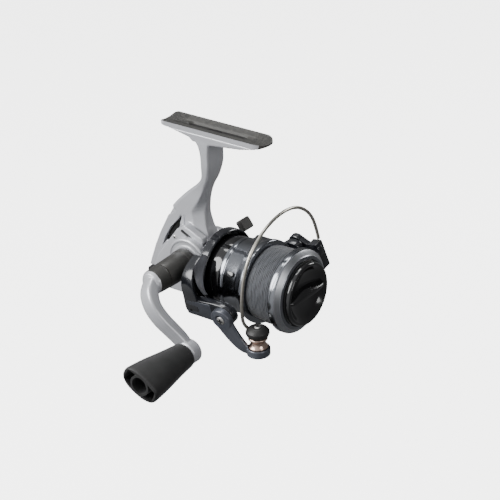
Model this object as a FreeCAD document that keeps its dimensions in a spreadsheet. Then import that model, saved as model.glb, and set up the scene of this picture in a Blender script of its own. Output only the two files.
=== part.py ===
import FreeCAD, Part
import math
import os
import re
import Sketcher

# A spinning reel: a seat on a stem carries a gear case, the handle drives a rotor that
# lays line on a spool, and the spool slides on the main shaft under a drag knob.
# Frame: millimetres, +X forward along the spool axis, +Y left, +Z up, origin at the
# centre of the rod seat. Heights in the formulas are counted from the spool axis.

SIZES = {
    # rod seat and stem
    "axis_drop": 77.0,
    "body_ahead": 1.9,
    "seat_length": 63.0,
    "seat_width": 13.5,
    "seat_tip": 1.8,
    "seat_root": 7.0,
    "seat_sag": 1.0,
    "seat_slot_length": 36.0,
    "seat_slot_width": 4.0,
    "seat_slot_deep": 1.2,
    "stem_back": 6.7,
    "stem_depth": 9.0,
    "stem_width": 12.6,
    "neck_half": 5.0,
    # gear case
    "case_front": 7.0,
    "case_near": 9.9,
    "case_far": 9.8,
    "case_bottom": 15.3,
    "case_wall": 1.6,
    "tail_back": 49.4,
    "tail_low": 10.4,
    "nose_radius": 15.3,
    "nose_front": 4.8,
    "boss_radius": 11.8,
    "boss_face": 13.8,
    "far_boss_face": 13.2,
    "far_boss_radius": 8.2,
    # drive gears
    "gear_back": 16.15,
    "gear_up": 6.5,
    "drive_teeth": 34,
    "pinion_teeth": 8,
    "face_pitch": 9.5,
    "face_band": 0.9,
    "tooth_deep": 0.45,
    "drive_disc": 2.0,
    "drive_shaft_radius": 2.4,
    "bolt_radius": 1.15,
    "swing_module": 0.6667,
    "small_teeth": 12,
    "swing_teeth": 24,
    "swing_back": 9.6,
    "swing_near": 4.0,
    "swing_thick": 2.2,
    "crank_pin_reach": 5.0,
    "stroke_rest": 3.0,
    # main shaft, spool and drag
    "shaft_radius": 1.3,
    "running_gap": 0.05,
    "spool_radius": 21.5,
    "spool_lip": 43.75,
    "line_front": 39.5,
    "line_back": 24.45,
    "line_radius": 19.4,
    "arbor_radius": 13.5,
    "skirt_radius": 19.0,
    "skirt_back": 6.85,
    "skirt_wall": 1.1,
    "knob_radius": 16.3,
    "knob_back": 43.4,
    "knob_rim": 49.2,
    "knob_dish": 45.6,
    "blade_length": 27.6,
    "blade_width": 5.0,
    "blade_front": 50.0,
    # rotor
    "rotor_angle": 13.2,
    "cup_radius": 21.0,
    "cup_wall": 1.4,
    "cup_rim": 4.35,
    "cup_back": 6.2,
    "hub_wall": 17.0,
    "hub_front": 8.3,
    "arm_pivot": 19.6,
    "arm_inner": 26.4,
    "arm_outer": 30.6,
    "arm_half": 6.3,
    "wing_rise": 17.0,
    "bail_inner": 30.9,
    "bail_outer": 34.3,
    "bail_half": 6.0,
    "roller_ahead": 16.0,
    "roller_side": 28.5,
    "roller_low": 13.1,
    "roller_radius": 4.9,
    "roller_cap_radius": 6.0,
    "wire_radius": 0.85,
    "wire_reach": 40.5,
    # handle
    "collar_radius": 7.4,
    "collar_end_radius": 6.7,
    "collar_start": 14.1,
    "collar_end": 33.3,
    "hinge_side": 36.0,
    "hinge_pin_radius": 1.0,
    "tongue_half": 1.9,
    "crank_ahead": 22.8,
    "crank_low": 30.8,
    "arm_end_side": 43.2,
    "arm_end_radius": 6.2,
    "knob_inner": 46.9,
    "knob_outer": 81.5,
    "knob_flare": 10.8,
    "knob_turn": 26.0,
    "fold_limit": 25.0,
    "knob_root": 7.0,
    "knob_thick": 6.4,
    "post_radius": 2.0,
}

X = FreeCAD.Vector(1, 0, 0)
Y = FreeCAD.Vector(0, 1, 0)
Z = FreeCAD.Vector(0, 0, 1)
ORIGIN = FreeCAD.Vector(0, 0, 0)
UPRIGHT = FreeCAD.Rotation(Z, 0)
ALONG_X = FreeCAD.Rotation(Y, 90)          # turns a cylinder's own Z to +X
ALONG_Y = FreeCAD.Rotation(X, -90)         # turns a cylinder's own Z to +Y
LATHE_Y = FreeCAD.Rotation(Z, 90)          # turns a lathe outline's X to +Y
LATHE_NEAR = FreeCAD.Rotation(Z, -90)      # turns a lathe outline's X to -Y
SIDE = FreeCAD.Rotation(X, 90)             # outline in X and Z, thickness toward -Y
FACE = FreeCAD.Rotation(FreeCAD.Vector(1, 1, 1), 120)   # outline in Y and Z, thickness toward +X

doc = FreeCAD.newDocument("spinning_reel")
sheet = doc.addObject("Spreadsheet::Sheet", "sizes")
NODES = []


def fill_sheet():
    """Write every driving size as a plain number with its alias."""
    for row, (alias, value) in enumerate(SIZES.items(), start=1):
        sheet.set("A%d" % row, alias)
        sheet.set("B%d" % row, str(value))
        sheet.setAlias("B%d" % row, alias)
    doc.recompute()


def full(formula):
    """Turn the bare names in a formula into references to the sheet."""
    def named(word):
        return "sizes." + word.group() if word.group() in SIZES else word.group()
    return re.sub(r"[a-z_]+", named, str(formula))


def size(formula):
    """The present value of a formula, for shapes made by code."""
    return float(sheet.evalExpression(full(formula)))


def bind(thing, field, formula):
    thing.setExpression(field, full(formula))


def place(thing, spot=("0", "0", "0"), rotation=UPRIGHT, on_axis=True):
    """Put a piece at a spot counted from the point of the spool axis under the seat."""
    thing.Placement = FreeCAD.Placement(ORIGIN, rotation)
    ahead = " + body_ahead" if on_axis else ""
    drop = " - axis_drop" if on_axis else ""
    for letter, formula in zip("xyz", (spot[0] + ahead, spot[1], spot[2] + drop)):
        bind(thing, "Placement.Base." + letter, formula)
    return thing


def node(label, thing):
    """Name a finished sub-part; its label is also its file name."""
    thing.Label = label
    NODES.append(thing)
    return thing


def on_rotor(thing):
    """Turn a piece built in the rotor's own frame to the rotor's rest angle."""
    thing.Placement = FreeCAD.Placement(ORIGIN, FreeCAD.Rotation(X, size("rotor_angle")))
    bind(thing, "Placement.Rotation.Angle", "rotor_angle")
    bind(thing, "Placement.Base.x", "body_ahead")
    bind(thing, "Placement.Base.z", "-axis_drop")
    return thing


def rod(radius, length, spot, rotation=UPRIGHT, on_axis=True):
    piece = doc.addObject("Part::Cylinder", "rod")
    bind(piece, "Radius", radius)
    bind(piece, "Height", length)
    return place(piece, spot, rotation, on_axis)


def block(lengths, spot, rotation=UPRIGHT, on_axis=True):
    piece = doc.addObject("Part::Box", "block")
    for field, formula in zip(("Length", "Width", "Height"), lengths):
        bind(piece, field, formula)
    return place(piece, spot, rotation, on_axis)


def fuse(pieces):
    joined = doc.addObject("Part::MultiFuse", "joined")
    joined.Shapes = pieces
    joined.Refine = True
    return joined


def cut(base, tools):
    """Take one or more tools away from a base."""
    tool = tools[0] if len(tools) == 1 else fuse(tools)
    piece = doc.addObject("Part::Cut", "cut")
    piece.Base = base
    piece.Tool = tool
    return piece


def common(first, second):
    piece = doc.addObject("Part::Common", "common")
    piece.Base = first
    piece.Tool = second
    return piece


def compound(pieces):
    group = doc.addObject("Part::Compound", "group")
    group.Links = pieces
    return group


def outline_body(corners):
    """A body with one closed sketch whose corners are bound to the sheet."""
    body = doc.addObject("PartDesign::Body", "body")
    plane = [item for item in body.Origin.OriginFeatures if item.Role == "XY_Plane"][0]
    sketch = body.newObject("Sketcher::SketchObject", "outline")
    sketch.AttachmentSupport = [(plane, "")]
    sketch.MapMode = "FlatFace"
    points = [FreeCAD.Vector(size(first), size(second), 0) for first, second in corners]
    count = len(points)
    for index, point in enumerate(points):
        sketch.addGeometry(Part.LineSegment(point, points[(index + 1) % count]), False)
    for index in range(count):
        follower = (index + 1) % count
        sketch.addConstraint(Sketcher.Constraint("Coincident", index, 2, follower, 1))
    for index, corner in enumerate(corners):
        for kind, formula in zip(("DistanceX", "DistanceY"), corner):
            limit = Sketcher.Constraint(kind, -1, 1, index, 1, size(formula))
            number = sketch.addConstraint(limit)
            bind(sketch, "Constraints[%d]" % number, formula)
    doc.recompute()
    return body, sketch


def turned(corners, spot=("0", "0", "0"), rotation=UPRIGHT, on_axis=True):
    """A lathe piece: the outline gives distance along the axis, then radius."""
    body, sketch = outline_body(corners)
    revolution = body.newObject("PartDesign::Revolution", "turning")
    revolution.Profile = sketch
    revolution.ReferenceAxis = (sketch, ["H_Axis"])
    revolution.Angle = 360
    sketch.Visibility = False
    return place(body, spot, rotation, on_axis)


def tube(start, end, inner, outer, spot=("0", "0", "0"), rotation=UPRIGHT, on_axis=True):
    corners = [(start, inner), (end, inner), (end, outer), (start, outer)]
    return turned(corners, spot, rotation, on_axis)


def slab(corners, thickness, spot, rotation, on_axis=True):
    """A flat piece padded from its outline."""
    body, sketch = outline_body(corners)
    pad = body.newObject("PartDesign::Pad", "pad")
    pad.Profile = sketch
    bind(pad, "Length", thickness)
    return place(body, spot, rotation, on_axis)


def ellipse(half_x, half_y, spot, rotation=UPRIGHT, on_axis=True):
    """An ellipse for a loft; half_x must stay the larger one."""
    piece = doc.addObject("Part::Ellipse", "section")
    bind(piece, "MajorRadius", half_x)
    bind(piece, "MinorRadius", half_y)
    return place(piece, spot, rotation, on_axis)


def loft(sections, ruled=False):
    piece = doc.addObject("Part::Loft", "loft")
    piece.Sections = sections
    piece.Solid = True
    piece.Ruled = ruled
    return piece


def coded(shape):
    """A feature whose shape is made by code from the sheet's sizes."""
    piece = doc.addObject("Part::Feature", "coded")
    piece.Shape = shape
    return piece


def rounded_path(points, share=0.45):
    """Straight runs joined by tangent arcs, each as large as its two runs allow."""
    edges = []
    start = points[0]
    for before, corner, after in zip(points, points[1:], points[2:]):
        back = (before - corner).normalize()
        ahead = (after - corner).normalize()
        reach = share * min((before - corner).Length, (after - corner).Length)
        bend_in = corner + back * reach
        bend_out = corner + ahead * reach
        half = back.getAngle(ahead) / 2
        middle_way = (back + ahead).normalize()
        radius = reach * math.tan(half)
        middle = corner + middle_way * (radius / math.sin(half) - radius)
        edges.append(Part.LineSegment(start, bend_in).toShape())
        edges.append(Part.Arc(bend_in, middle, bend_out).toShape())
        start = bend_out
    edges.append(Part.LineSegment(start, points[-1]).toShape())
    return Part.Wire(edges)


def toothed_outline(teeth, pitch, tip, root, tip_share, root_share):
    """A closed wheel outline with straight-sided teeth, in the XY plane."""
    step = 2 * math.pi / teeth
    points = []
    for tooth in range(teeth):
        middle = tooth * step
        flank = ((root, -root_share), (tip, -tip_share), (tip, tip_share), (root, root_share))
        for radius, share in flank:
            angle = middle + share * step * pitch / radius
            points.append(FreeCAD.Vector(radius * math.cos(angle), radius * math.sin(angle), 0))
    return Part.Face(Part.makePolygon(points + [points[0]]))


fill_sheet()

# ------------------------------------------------------------------ fixed body
SEAT_TOP = "axis_drop"
GEAR_SPOT = ("-gear_back", "0", "gear_up")
SWING_SPOT_X = "-gear_back - swing_back"
SWING_CENTRES = "(small_teeth + swing_teeth) / 2 * swing_module"
SWING_UP = "gear_up - sqrt((" + SWING_CENTRES + ")^2 - swing_back^2)"
SLIDER_X = "(" + SWING_SPOT_X + " - stroke_rest)"
DRIVE_RADIUS = "sqrt((face_pitch + face_band)^2 + gear_up^2)"
PINION_PITCH = "face_pitch * pinion_teeth / drive_teeth"
PINION_TIP = "(" + PINION_PITCH + " + tooth_deep)"
PINION_JOURNAL = "2.6"


def seat_plate():
    """The long foot that the rod's clamp holds, thick at the stem and thin at its tips."""
    rear = "-seat_length / 2 - body_ahead"
    front_end = "seat_length / 2 - body_ahead"
    profile = [
        (rear, SEAT_TOP),
        (rear, SEAT_TOP + " - seat_tip"),
        ("-stem_back - stem_depth * 0.95", SEAT_TOP + " - seat_root * 0.75"),
        ("-stem_back - stem_depth * 0.55", SEAT_TOP + " - seat_root * 1.2"),
        ("-stem_back + stem_depth * 0.5", SEAT_TOP + " - seat_root"),
        ("stem_back + stem_depth", SEAT_TOP + " - seat_root * 0.7"),
        (front_end, SEAT_TOP + " - seat_tip"),
        (front_end, SEAT_TOP),
    ]
    plate = slab(profile, "seat_width", ("0", "seat_width / 2", "0"), SIDE)
    round_ends = common(plate, seat_footprint())
    saddle_radius = "(seat_width^2 / 4 + seat_sag^2) / (2 * seat_sag)"
    saddle_up = "axis_drop - seat_sag + " + saddle_radius
    saddle = rod(saddle_radius, "seat_length + 6", ("-seat_length / 2 - 4", "0", saddle_up), ALONG_X)
    slot_floor = "axis_drop - seat_sag - seat_slot_deep"
    slot_ahead = "seat_slot_length / 2 - seat_slot_width / 2"
    slot = block(("seat_slot_length - seat_slot_width", "seat_slot_width", "9"),
                 ("-(" + slot_ahead + ") - body_ahead", "-seat_slot_width / 2", slot_floor))
    slot_front = rod("seat_slot_width / 2", "9", (slot_ahead + " - body_ahead", "0", slot_floor))
    slot_rear = rod("seat_slot_width / 2", "9", ("-(" + slot_ahead + ") - body_ahead", "0", slot_floor))
    return cut(round_ends, [saddle, slot, slot_front, slot_rear])


def seat_footprint():
    """The seat seen from above: straight sides and rounded ends."""
    corner = "seat_width * 0.16"
    front_end = "seat_length / 2 - seat_width / 2 - body_ahead"
    rear_end = "-seat_length / 2 - body_ahead"
    middle = block(("seat_length - seat_width / 2 - " + corner, "seat_width", "30"),
                   (rear_end + " + " + corner, "-seat_width / 2", "axis_drop - 20"))
    front = rod("seat_width / 2", "30", (front_end, "0", "axis_drop - 20"))
    rear = block((corner + " + 1", "seat_width - 2 * " + corner, "30"),
                 (rear_end, "-seat_width / 2 + " + corner, "axis_drop - 20"))
    corner_side = "(seat_width / 2 - " + corner + ")"
    left = rod(corner, "30", (rear_end + " + " + corner, corner_side, "axis_drop - 20"))
    right = rod(corner, "30", (rear_end + " + " + corner, "-" + corner_side, "axis_drop - 20"))
    return fuse([middle, front, rear, left, right])


def stem():
    """The curved leg: an oval post that widens rearward into the spine."""
    across = FreeCAD.Rotation(Z, 90)
    upper = [
        ellipse("stem_width / 2", "stem_depth / 2 + 0.6", ("-stem_back", "0", "axis_drop - 5"), across),
        ellipse("stem_width / 2", "stem_depth / 2", ("-stem_back", "0", "axis_drop - 18"), across),
        ellipse("stem_width / 2 - 0.5", "stem_depth / 2",
                ("-stem_back - 0.6", "0", "axis_drop - 27"), across),
        ellipse("stem_width / 2 - 0.9", "stem_depth / 2 + 0.5",
                ("-stem_back - 3", "0", "axis_drop - 32"), across),
    ]
    lower = [
        ellipse("stem_depth / 2 + 1.4", "neck_half + 0.2", ("-stem_back - 3", "0", "axis_drop - 31")),
        ellipse("stem_depth / 2 + 3.2", "neck_half", ("-stem_back - 7", "0", "axis_drop - 36.5")),
        ellipse("stem_depth / 2 + 4.4", "neck_half", ("-stem_back - 11.8", "0", "axis_drop - 43")),
        ellipse("stem_depth / 2 + 6.6", "neck_half", ("-stem_back - 14.6", "0", "axis_drop - 49")),
        ellipse("stem_depth / 2 + 9.5", "neck_half + 0.6", ("-stem_back - 16", "0", "axis_drop - 56")),
    ]
    return [loft(upper), loft(lower)]


SPINE = [
    ("-case_front", "nose_radius * 0.98"),
    ("-case_front - 3", "gear_up + 10.6"),
    ("-stem_back - 6.5", "gear_up + 14"),
    ("-stem_back - 21", "axis_drop - 48.4"),
    ("-tail_back + 15.8", "axis_drop - 52.7"),
    ("-tail_back + 9.6", "axis_drop - 63.9"),
    ("-tail_back + 5.6", "axis_drop - 72.5"),
    ("-tail_back + 2.3", "-tail_low + 6.5"),
    ("-tail_back", "-tail_low"),
    ("-tail_back + 2", "-tail_low - 4"),
    ("-tail_back + 9.5", "-case_bottom"),
    ("-case_front", "-case_bottom"),
]

CASE = [
    ("-case_front", "-case_bottom"),
    ("-case_front", "nose_radius * 0.98"),
    ("-case_front - 2", "gear_up + 12.6"),
    ("-gear_back - 3.5", "gear_up + 17.3"),
    ("-gear_back - 8.5", "gear_up + 14"),
    ("-gear_back - 22.2", "gear_up - 4"),
    ("-gear_back - 25", "gear_up - 10"),
    ("-gear_back - 24.2", "-case_bottom + 3"),
    ("-gear_back - 18", "-case_bottom"),
]

CAVITY = [
    ("-case_front + 0.4", "-case_bottom + 3.6"),
    ("-case_front + 0.4", "gear_up"),
    ("-gear_back", "gear_up + 6.6"),
    ("-gear_back - 11.5", "gear_up + 6"),
    ("-gear_back - 20", "gear_up - 4.6"),
    ("-gear_back - 21.2", "gear_up - 9"),
    ("-gear_back - 20.6", "-case_bottom + 3.6"),
]

WINDOW = [
    ("-tail_back + 25.2", "axis_drop - 49.2"),
    ("-tail_back + 22.4", "axis_drop - 58.6"),
    ("-tail_back + 12.4", "axis_drop - 70.1"),
    ("-tail_back + 15.7", "axis_drop - 63.2"),
]


def guide_spot(start):
    return (start, "0.6", "gear_up - 14.2")


def body_frame():
    """Seat, stem, spine and the open gear case with its front nose, cast as one piece."""
    spine = slab(SPINE, "2 * neck_half", ("0", "neck_half", "0"), SIDE)
    whole_case = slab(CASE, "case_near + case_far", ("0", "case_far", "0"), SIDE)
    far_slope = slab([
        ("1.2", "gear_up + 12.7"),
        ("case_far + 1.5", "gear_up + 5.5"),
        ("case_far + 1.5", "gear_up + 24"),
        ("1.2", "gear_up + 24"),
    ], "44", ("-gear_back - 27", "0", "0"), FACE)
    case = cut(whole_case, [far_slope])
    far_boss = rod("far_boss_radius", "far_boss_face - case_far",
                   ("-gear_back", "case_far", "gear_up"), ALONG_Y)
    nose = rod("nose_radius", "nose_front + case_front + 0.2", ("-case_front - 0.2", "0", "0"), ALONG_X)
    solid = fuse([seat_plate()] + stem() + [spine, case, far_boss, nose])
    reach = "case_near + case_far - case_wall + 1"
    room = slab(CAVITY, reach, ("0", "case_far - case_wall", "0"), SIDE)
    gear_room = rod(DRIVE_RADIUS + " + 0.6", "case_near - 0.6",
                    ("-gear_back", "-case_near - 1", "gear_up"), ALONG_Y)
    web = "-2.6"
    nose_room = rod("nose_radius - 1.3", "case_front - 2.6 + 1", ("-case_front - 1", "0", "0"), ALONG_X)
    bearing_seat = rod("5.5", "20", (web + " - 1", "0", "0"), ALONG_X)
    clutch_seat = rod("10.05", "20", ("0.6", "0", "0"), ALONG_X)
    far_spot = ("-gear_back", "case_far - case_wall - 0.1", "gear_up")
    far_seat = rod("5.5", "case_wall + 1.5", far_spot, ALONG_Y)
    far_hole = rod("drive_shaft_radius + 0.5", "20", ("-gear_back", "0", "gear_up"), ALONG_Y)
    shaft_hole = rod("shaft_radius + 1.7", "8.2", ("-gear_back - 28.6", "0", "0"), ALONG_X)
    windows = []
    for side in ("-neck_half - 1", "neck_half - 2.4"):
        near = side.startswith("-")
        face = "-neck_half + 2.4" if near else "neck_half + 1"
        windows.append(slab(WINDOW, "3.4", ("0", face, "0"), SIDE))
    tail_room = block(("9", "30", "9"), ("-tail_back - 1.5", "-15", "-tail_low - 6.5"))
    shell = cut(solid, [room, gear_room, nose_room, bearing_seat, clutch_seat, far_seat,
                        far_hole, shaft_hole, tail_room] + windows)
    post = rod("1.5", "case_far - case_wall - swing_near + 0.3",
               (SWING_SPOT_X, "swing_near", SWING_UP), ALONG_Y)
    guide_end = [rod("1.5", "1.6", guide_spot("-gear_back - 21"), ALONG_X)]
    lug = block(("2.4", "3.6", "6.5"), ("-case_front - 2", "-1.2", "-case_bottom + 2"))
    guide_hole = rod("0.8", "40", guide_spot("-gear_back - 20.4"), ALONG_X)
    with_post = fuse([shell, post, lug] + guide_end)
    screw_holes = [rod("0.7", "6", (x, "-case_near - 1", z), ALONG_Y) for x, z in COVER_SCREWS]
    return node("body_frame", cut(with_post, [guide_hole] + screw_holes))


COVER_SCREWS = [
    ("-case_front - 1.9", "-case_bottom + 1.9"),
    ("-gear_back - 20.2", "-case_bottom + 2.6"),
    ("-gear_back - 10.2", "gear_up + 10.4"),
]


def side_cover():
    """The near plate over the gears, with the round boss that holds the gear's bearing."""
    plate = slab(CASE, "case_wall", ("0", "-case_near", "0"), SIDE)
    boss = rod("boss_radius", "boss_face - case_near - case_wall / 2",
               ("-gear_back", "-boss_face", "gear_up"), ALONG_Y)
    front = block(("30", "30", "60"), ("-case_front - 0.3", "-30", "-30"))
    trimmed = cut(fuse([plate, boss]), [front])
    seat = rod("5.5", "boss_face", ("-gear_back", "-boss_face + 0.6", "gear_up"), ALONG_Y)
    hole = rod("drive_shaft_radius + 0.6", "20", ("-gear_back", "-boss_face - 1", "gear_up"), ALONG_Y)
    screws = [rod("0.8", "6", (x, "-case_near - case_wall - 1", z), ALONG_Y) for x, z in COVER_SCREWS]
    return node("side_cover", cut(trimmed, [seat, hole] + screws))


def cover_screws():
    screws = []
    for x, z in COVER_SCREWS:
        head_start = "-case_near - case_wall"
        outline = [
            (head_start + " - 0.7", "0"),
            (head_start + " + 4.6", "0"),
            (head_start + " + 4.6", "0.7"),
            (head_start, "0.7"),
            (head_start, "1.4"),
            (head_start + " - 0.7", "1.4"),
        ]
        screws.append(turned(outline, (x, "0", z), LATHE_Y))
    return node("cover_screws", compound(screws))


def tail_cap():
    """The dark cap that closes the case's rear tip."""
    corners = [
        ("-tail_back - 0.4", "-tail_low + 0.4"),
        ("-tail_back + 1.8", "-tail_low + 2.5"),
        ("-tail_back + 7.5", "-tail_low + 2.5"),
        ("-tail_back + 7.5", "-tail_low - 4.6"),
        ("-tail_back + 1.6", "-tail_low - 4.6"),
    ]
    cap = slab(corners, "2 * neck_half + 1.6", ("0", "neck_half + 0.8", "0"), SIDE)
    hole = rod("0.9", "20", ("-tail_back - 6", "0", "-tail_low - 1"), ALONG_X)
    head_room = rod("1.85", "5.8", ("-tail_back - 6", "0", "-tail_low - 1"), ALONG_X)
    return node("tail_cap", cut(cap, [hole, head_room]))


def tail_screw():
    outline = [
        ("-tail_back - 1", "0"),
        ("-tail_back + 7.5", "0"),
        ("-tail_back + 7.5", "0.9"),
        ("-tail_back - 0.2", "0.9"),
        ("-tail_back - 0.2", "1.8"),
        ("-tail_back - 1", "1.8"),
    ]
    return node("tail_screw", turned(outline, ("0", "0", "-tail_low - 1")))


def window_inlays():
    """The two black inlays in the spine's recesses."""
    inlays = []
    for face in ("-neck_half + 2.4", "neck_half - 1.4"):
        inlays.append(slab(WINDOW, "1", ("0", face, "0"), SIDE))
    return node("window_inlays", compound(inlays))


def bearings():
    """Ball bearings for the drive gear and the pinion, as closed rings."""
    near_end = "-case_near - 0.6"
    near = tube("-boss_face + 0.6", near_end, "drive_shaft_radius + running_gap", "5.5", GEAR_SPOT, LATHE_Y)
    node("near_gear_bearing", near)
    far_start = "case_far - case_wall"
    far_end = far_start + " + 2.6"
    far = tube(far_start, far_end, "drive_shaft_radius + running_gap", "5.5", GEAR_SPOT, LATHE_Y)
    node("far_gear_bearing", far)
    pinion = tube("-2.4", "0.6", PINION_JOURNAL + " + running_gap", "5.5")
    node("pinion_bearing", pinion)


SLEEVE_RADIUS = "5"
ROLLER_CIRCLE = "6.05"


def clutch():
    """The one-way clutch behind the rotor: an outer ring, rollers and a retaining plate."""
    node("clutch_ring", tube("0.9", "4.1", "7.15", "10"))
    rollers = []
    for index in range(6):
        turn = index * 60
        rollers.append(rod("1", "3", ("1", ROLLER_CIRCLE + " * cos(%d)" % turn,
                                     ROLLER_CIRCLE + " * sin(%d)" % turn), ALONG_X))
    node("clutch_rollers", compound(rollers))
    plate = tube("4.2", "4.8", "5.4", "10")
    holes = [rod("0.6", "9", ("0", "8.6 * cos(%d)" % turn, "8.6 * sin(%d)" % turn), ALONG_X)
             for turn in (30, 150, 270)]
    node("clutch_plate", cut(plate, holes))
    screws = [rod("0.6", "1.4", ("4.15", "8.6 * cos(%d)" % turn, "8.6 * sin(%d)" % turn), ALONG_X)
              for turn in (30, 150, 270)]
    node("clutch_screws", compound(screws))


def guide_rod():
    length = "gear_back + 20.4 - case_front + 0.4"
    node("guide_rod", rod("0.8", length, guide_spot("-gear_back - 20.4"), ALONG_X))


# ------------------------------------------------------------------ drive train
def drive_gear():
    """Face gear on a hollow shaft, with the small gear that drives the spool's stroke."""
    face = "-(" + PINION_TIP + ") - 0.25"
    disc = tube(face + " - drive_disc", face, "drive_shaft_radius", DRIVE_RADIUS, GEAR_SPOT, LATHE_Y)
    shaft_start = "-boss_face"
    shaft = tube(shaft_start, "far_boss_face + 0.2", "bolt_radius + running_gap",
                 "drive_shaft_radius", GEAR_SPOT, LATHE_Y)
    small_tip = "small_teeth / 2 * swing_module + 0.42"
    small_root = "small_teeth / 2 * swing_module - 0.62"
    flat = toothed_outline(int(size("small_teeth")), size("small_teeth / 2 * swing_module"),
                           size(small_tip), size(small_root), 0.14, 0.27)
    small = coded(flat.extrude(FreeCAD.Vector(0, 0, size("swing_thick"))))
    place(small, ("-gear_back", "swing_near", "gear_up"), ALONG_Y)
    shaft_room = rod("drive_shaft_radius - 0.2", "9", ("-gear_back", "swing_near - 1", "gear_up"), ALONG_Y)
    small_ring = cut(small, [shaft_room])
    teeth = coded(face_teeth())
    whole = fuse([disc, shaft, small_ring, teeth])
    return node("drive_gear", whole)


def face_teeth():
    """Straight bars on the disc, each parallel to the spool axis where it meets the pinion."""
    count = int(size("drive_teeth"))
    pitch = size("face_pitch")
    band = size("face_band")
    offset = size("gear_up")
    tip = size(PINION_TIP)
    top = -(tip - size("tooth_deep"))
    floor = -tip - 0.35
    half = 0.2
    bar = Part.makeBox(2 * band, top - floor, 2 * half)
    bar.translate(FreeCAD.Vector(pitch - band, floor, -offset - half))
    step = 360.0 / count
    bars = []
    for index in range(count):
        one = bar.copy()
        one.rotate(ORIGIN, Y, (index + 0.5) * step)
        one.translate(FreeCAD.Vector(size("body_ahead - gear_back"), 0, size("gear_up - axis_drop")))
        bars.append(one)
    return Part.makeCompound(bars)


def swing_gear():
    """The gear whose crank pin works the spool's stroke."""
    pitch = "swing_teeth / 2 * swing_module"
    flat = toothed_outline(int(size("swing_teeth")), size(pitch), size(pitch + " + 0.42"),
                           size(pitch + " - 0.62"), 0.14, 0.27)
    spin = FreeCAD.Rotation(Y, mesh_turn())
    wheel = coded(flat.extrude(FreeCAD.Vector(0, 0, size("swing_thick"))))
    place(wheel, (SWING_SPOT_X, "swing_near", SWING_UP), spin.multiply(ALONG_Y))
    pin_up = SWING_UP + " + sqrt(crank_pin_reach^2 - stroke_rest^2)"
    pin = rod("1", "0.3", (SLIDER_X, "swing_near - 0.3", pin_up), ALONG_Y)
    hole = rod("1.5 + running_gap", "20", (SWING_SPOT_X, "-5", SWING_UP), ALONG_Y)
    return node("swing_gear", cut(fuse([wheel, pin]), [hole]))


def mesh_turn():
    """Turn that puts a gap of the swing gear on the line to the small gear's nearest tooth."""
    ahead = size("swing_back")
    rise = size("gear_up - (" + SWING_UP + ")")
    line = math.degrees(math.atan2(rise, ahead))
    small_step = 360.0 / size("small_teeth")
    swing_step = 360.0 / size("swing_teeth")
    small_phase = (180.0 + line) % small_step
    if small_phase > small_step / 2:
        small_phase = small_phase - small_step
    carried = small_phase * size("small_teeth") / size("swing_teeth")
    return -line - carried + swing_step / 2


def main_shaft():
    corners = [
        ("-gear_back - 18", "0"),
        ("knob_back + 0.6", "0"),
        ("knob_back + 0.6", "shaft_radius"),
        ("-gear_back - 18", "shaft_radius"),
    ]
    return node("main_shaft", turned(corners))


def shaft_slider():
    """Yoke on the shaft's rear with the upright slot for the crank pin."""
    tall = "2 * crank_pin_reach + 4"
    body = block(("3.2", "5.2", tall), (SLIDER_X + " - 1.6", "-1.9", SWING_UP + " - (" + tall + ") / 2"))
    slot_width = "2.2"
    slot = block((slot_width, "1.2", "2 * crank_pin_reach + 2.2"),
                 (SLIDER_X + " - 1.1", "2.2", SWING_UP + " - crank_pin_reach - 1.1"))
    bore = rod("shaft_radius", "9", (SLIDER_X + " - 4", "0", "0"), ALONG_X)
    guide = rod("0.86", "9", guide_spot(SLIDER_X + " - 4"), ALONG_X)
    screw = rod("0.7", "3", (SLIDER_X, "-3", "0"), ALONG_Y)
    node("shaft_slider", cut(body, [slot, bore, guide, screw]))
    plain = rod("0.7", "0.6", (SLIDER_X, "-1.9", "0"), ALONG_Y)
    node("slider_screw", plain)


def spool_seat():
    """Keyed bush that the spool's drag stack sits on."""
    corners = [("17", "shaft_radius"), ("28.6", "shaft_radius"), ("28.6", "3"), ("18.4", "3"),
               ("18.4", "4.2"), ("17", "4.2")]
    return node("spool_seat", turned(corners))


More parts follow.
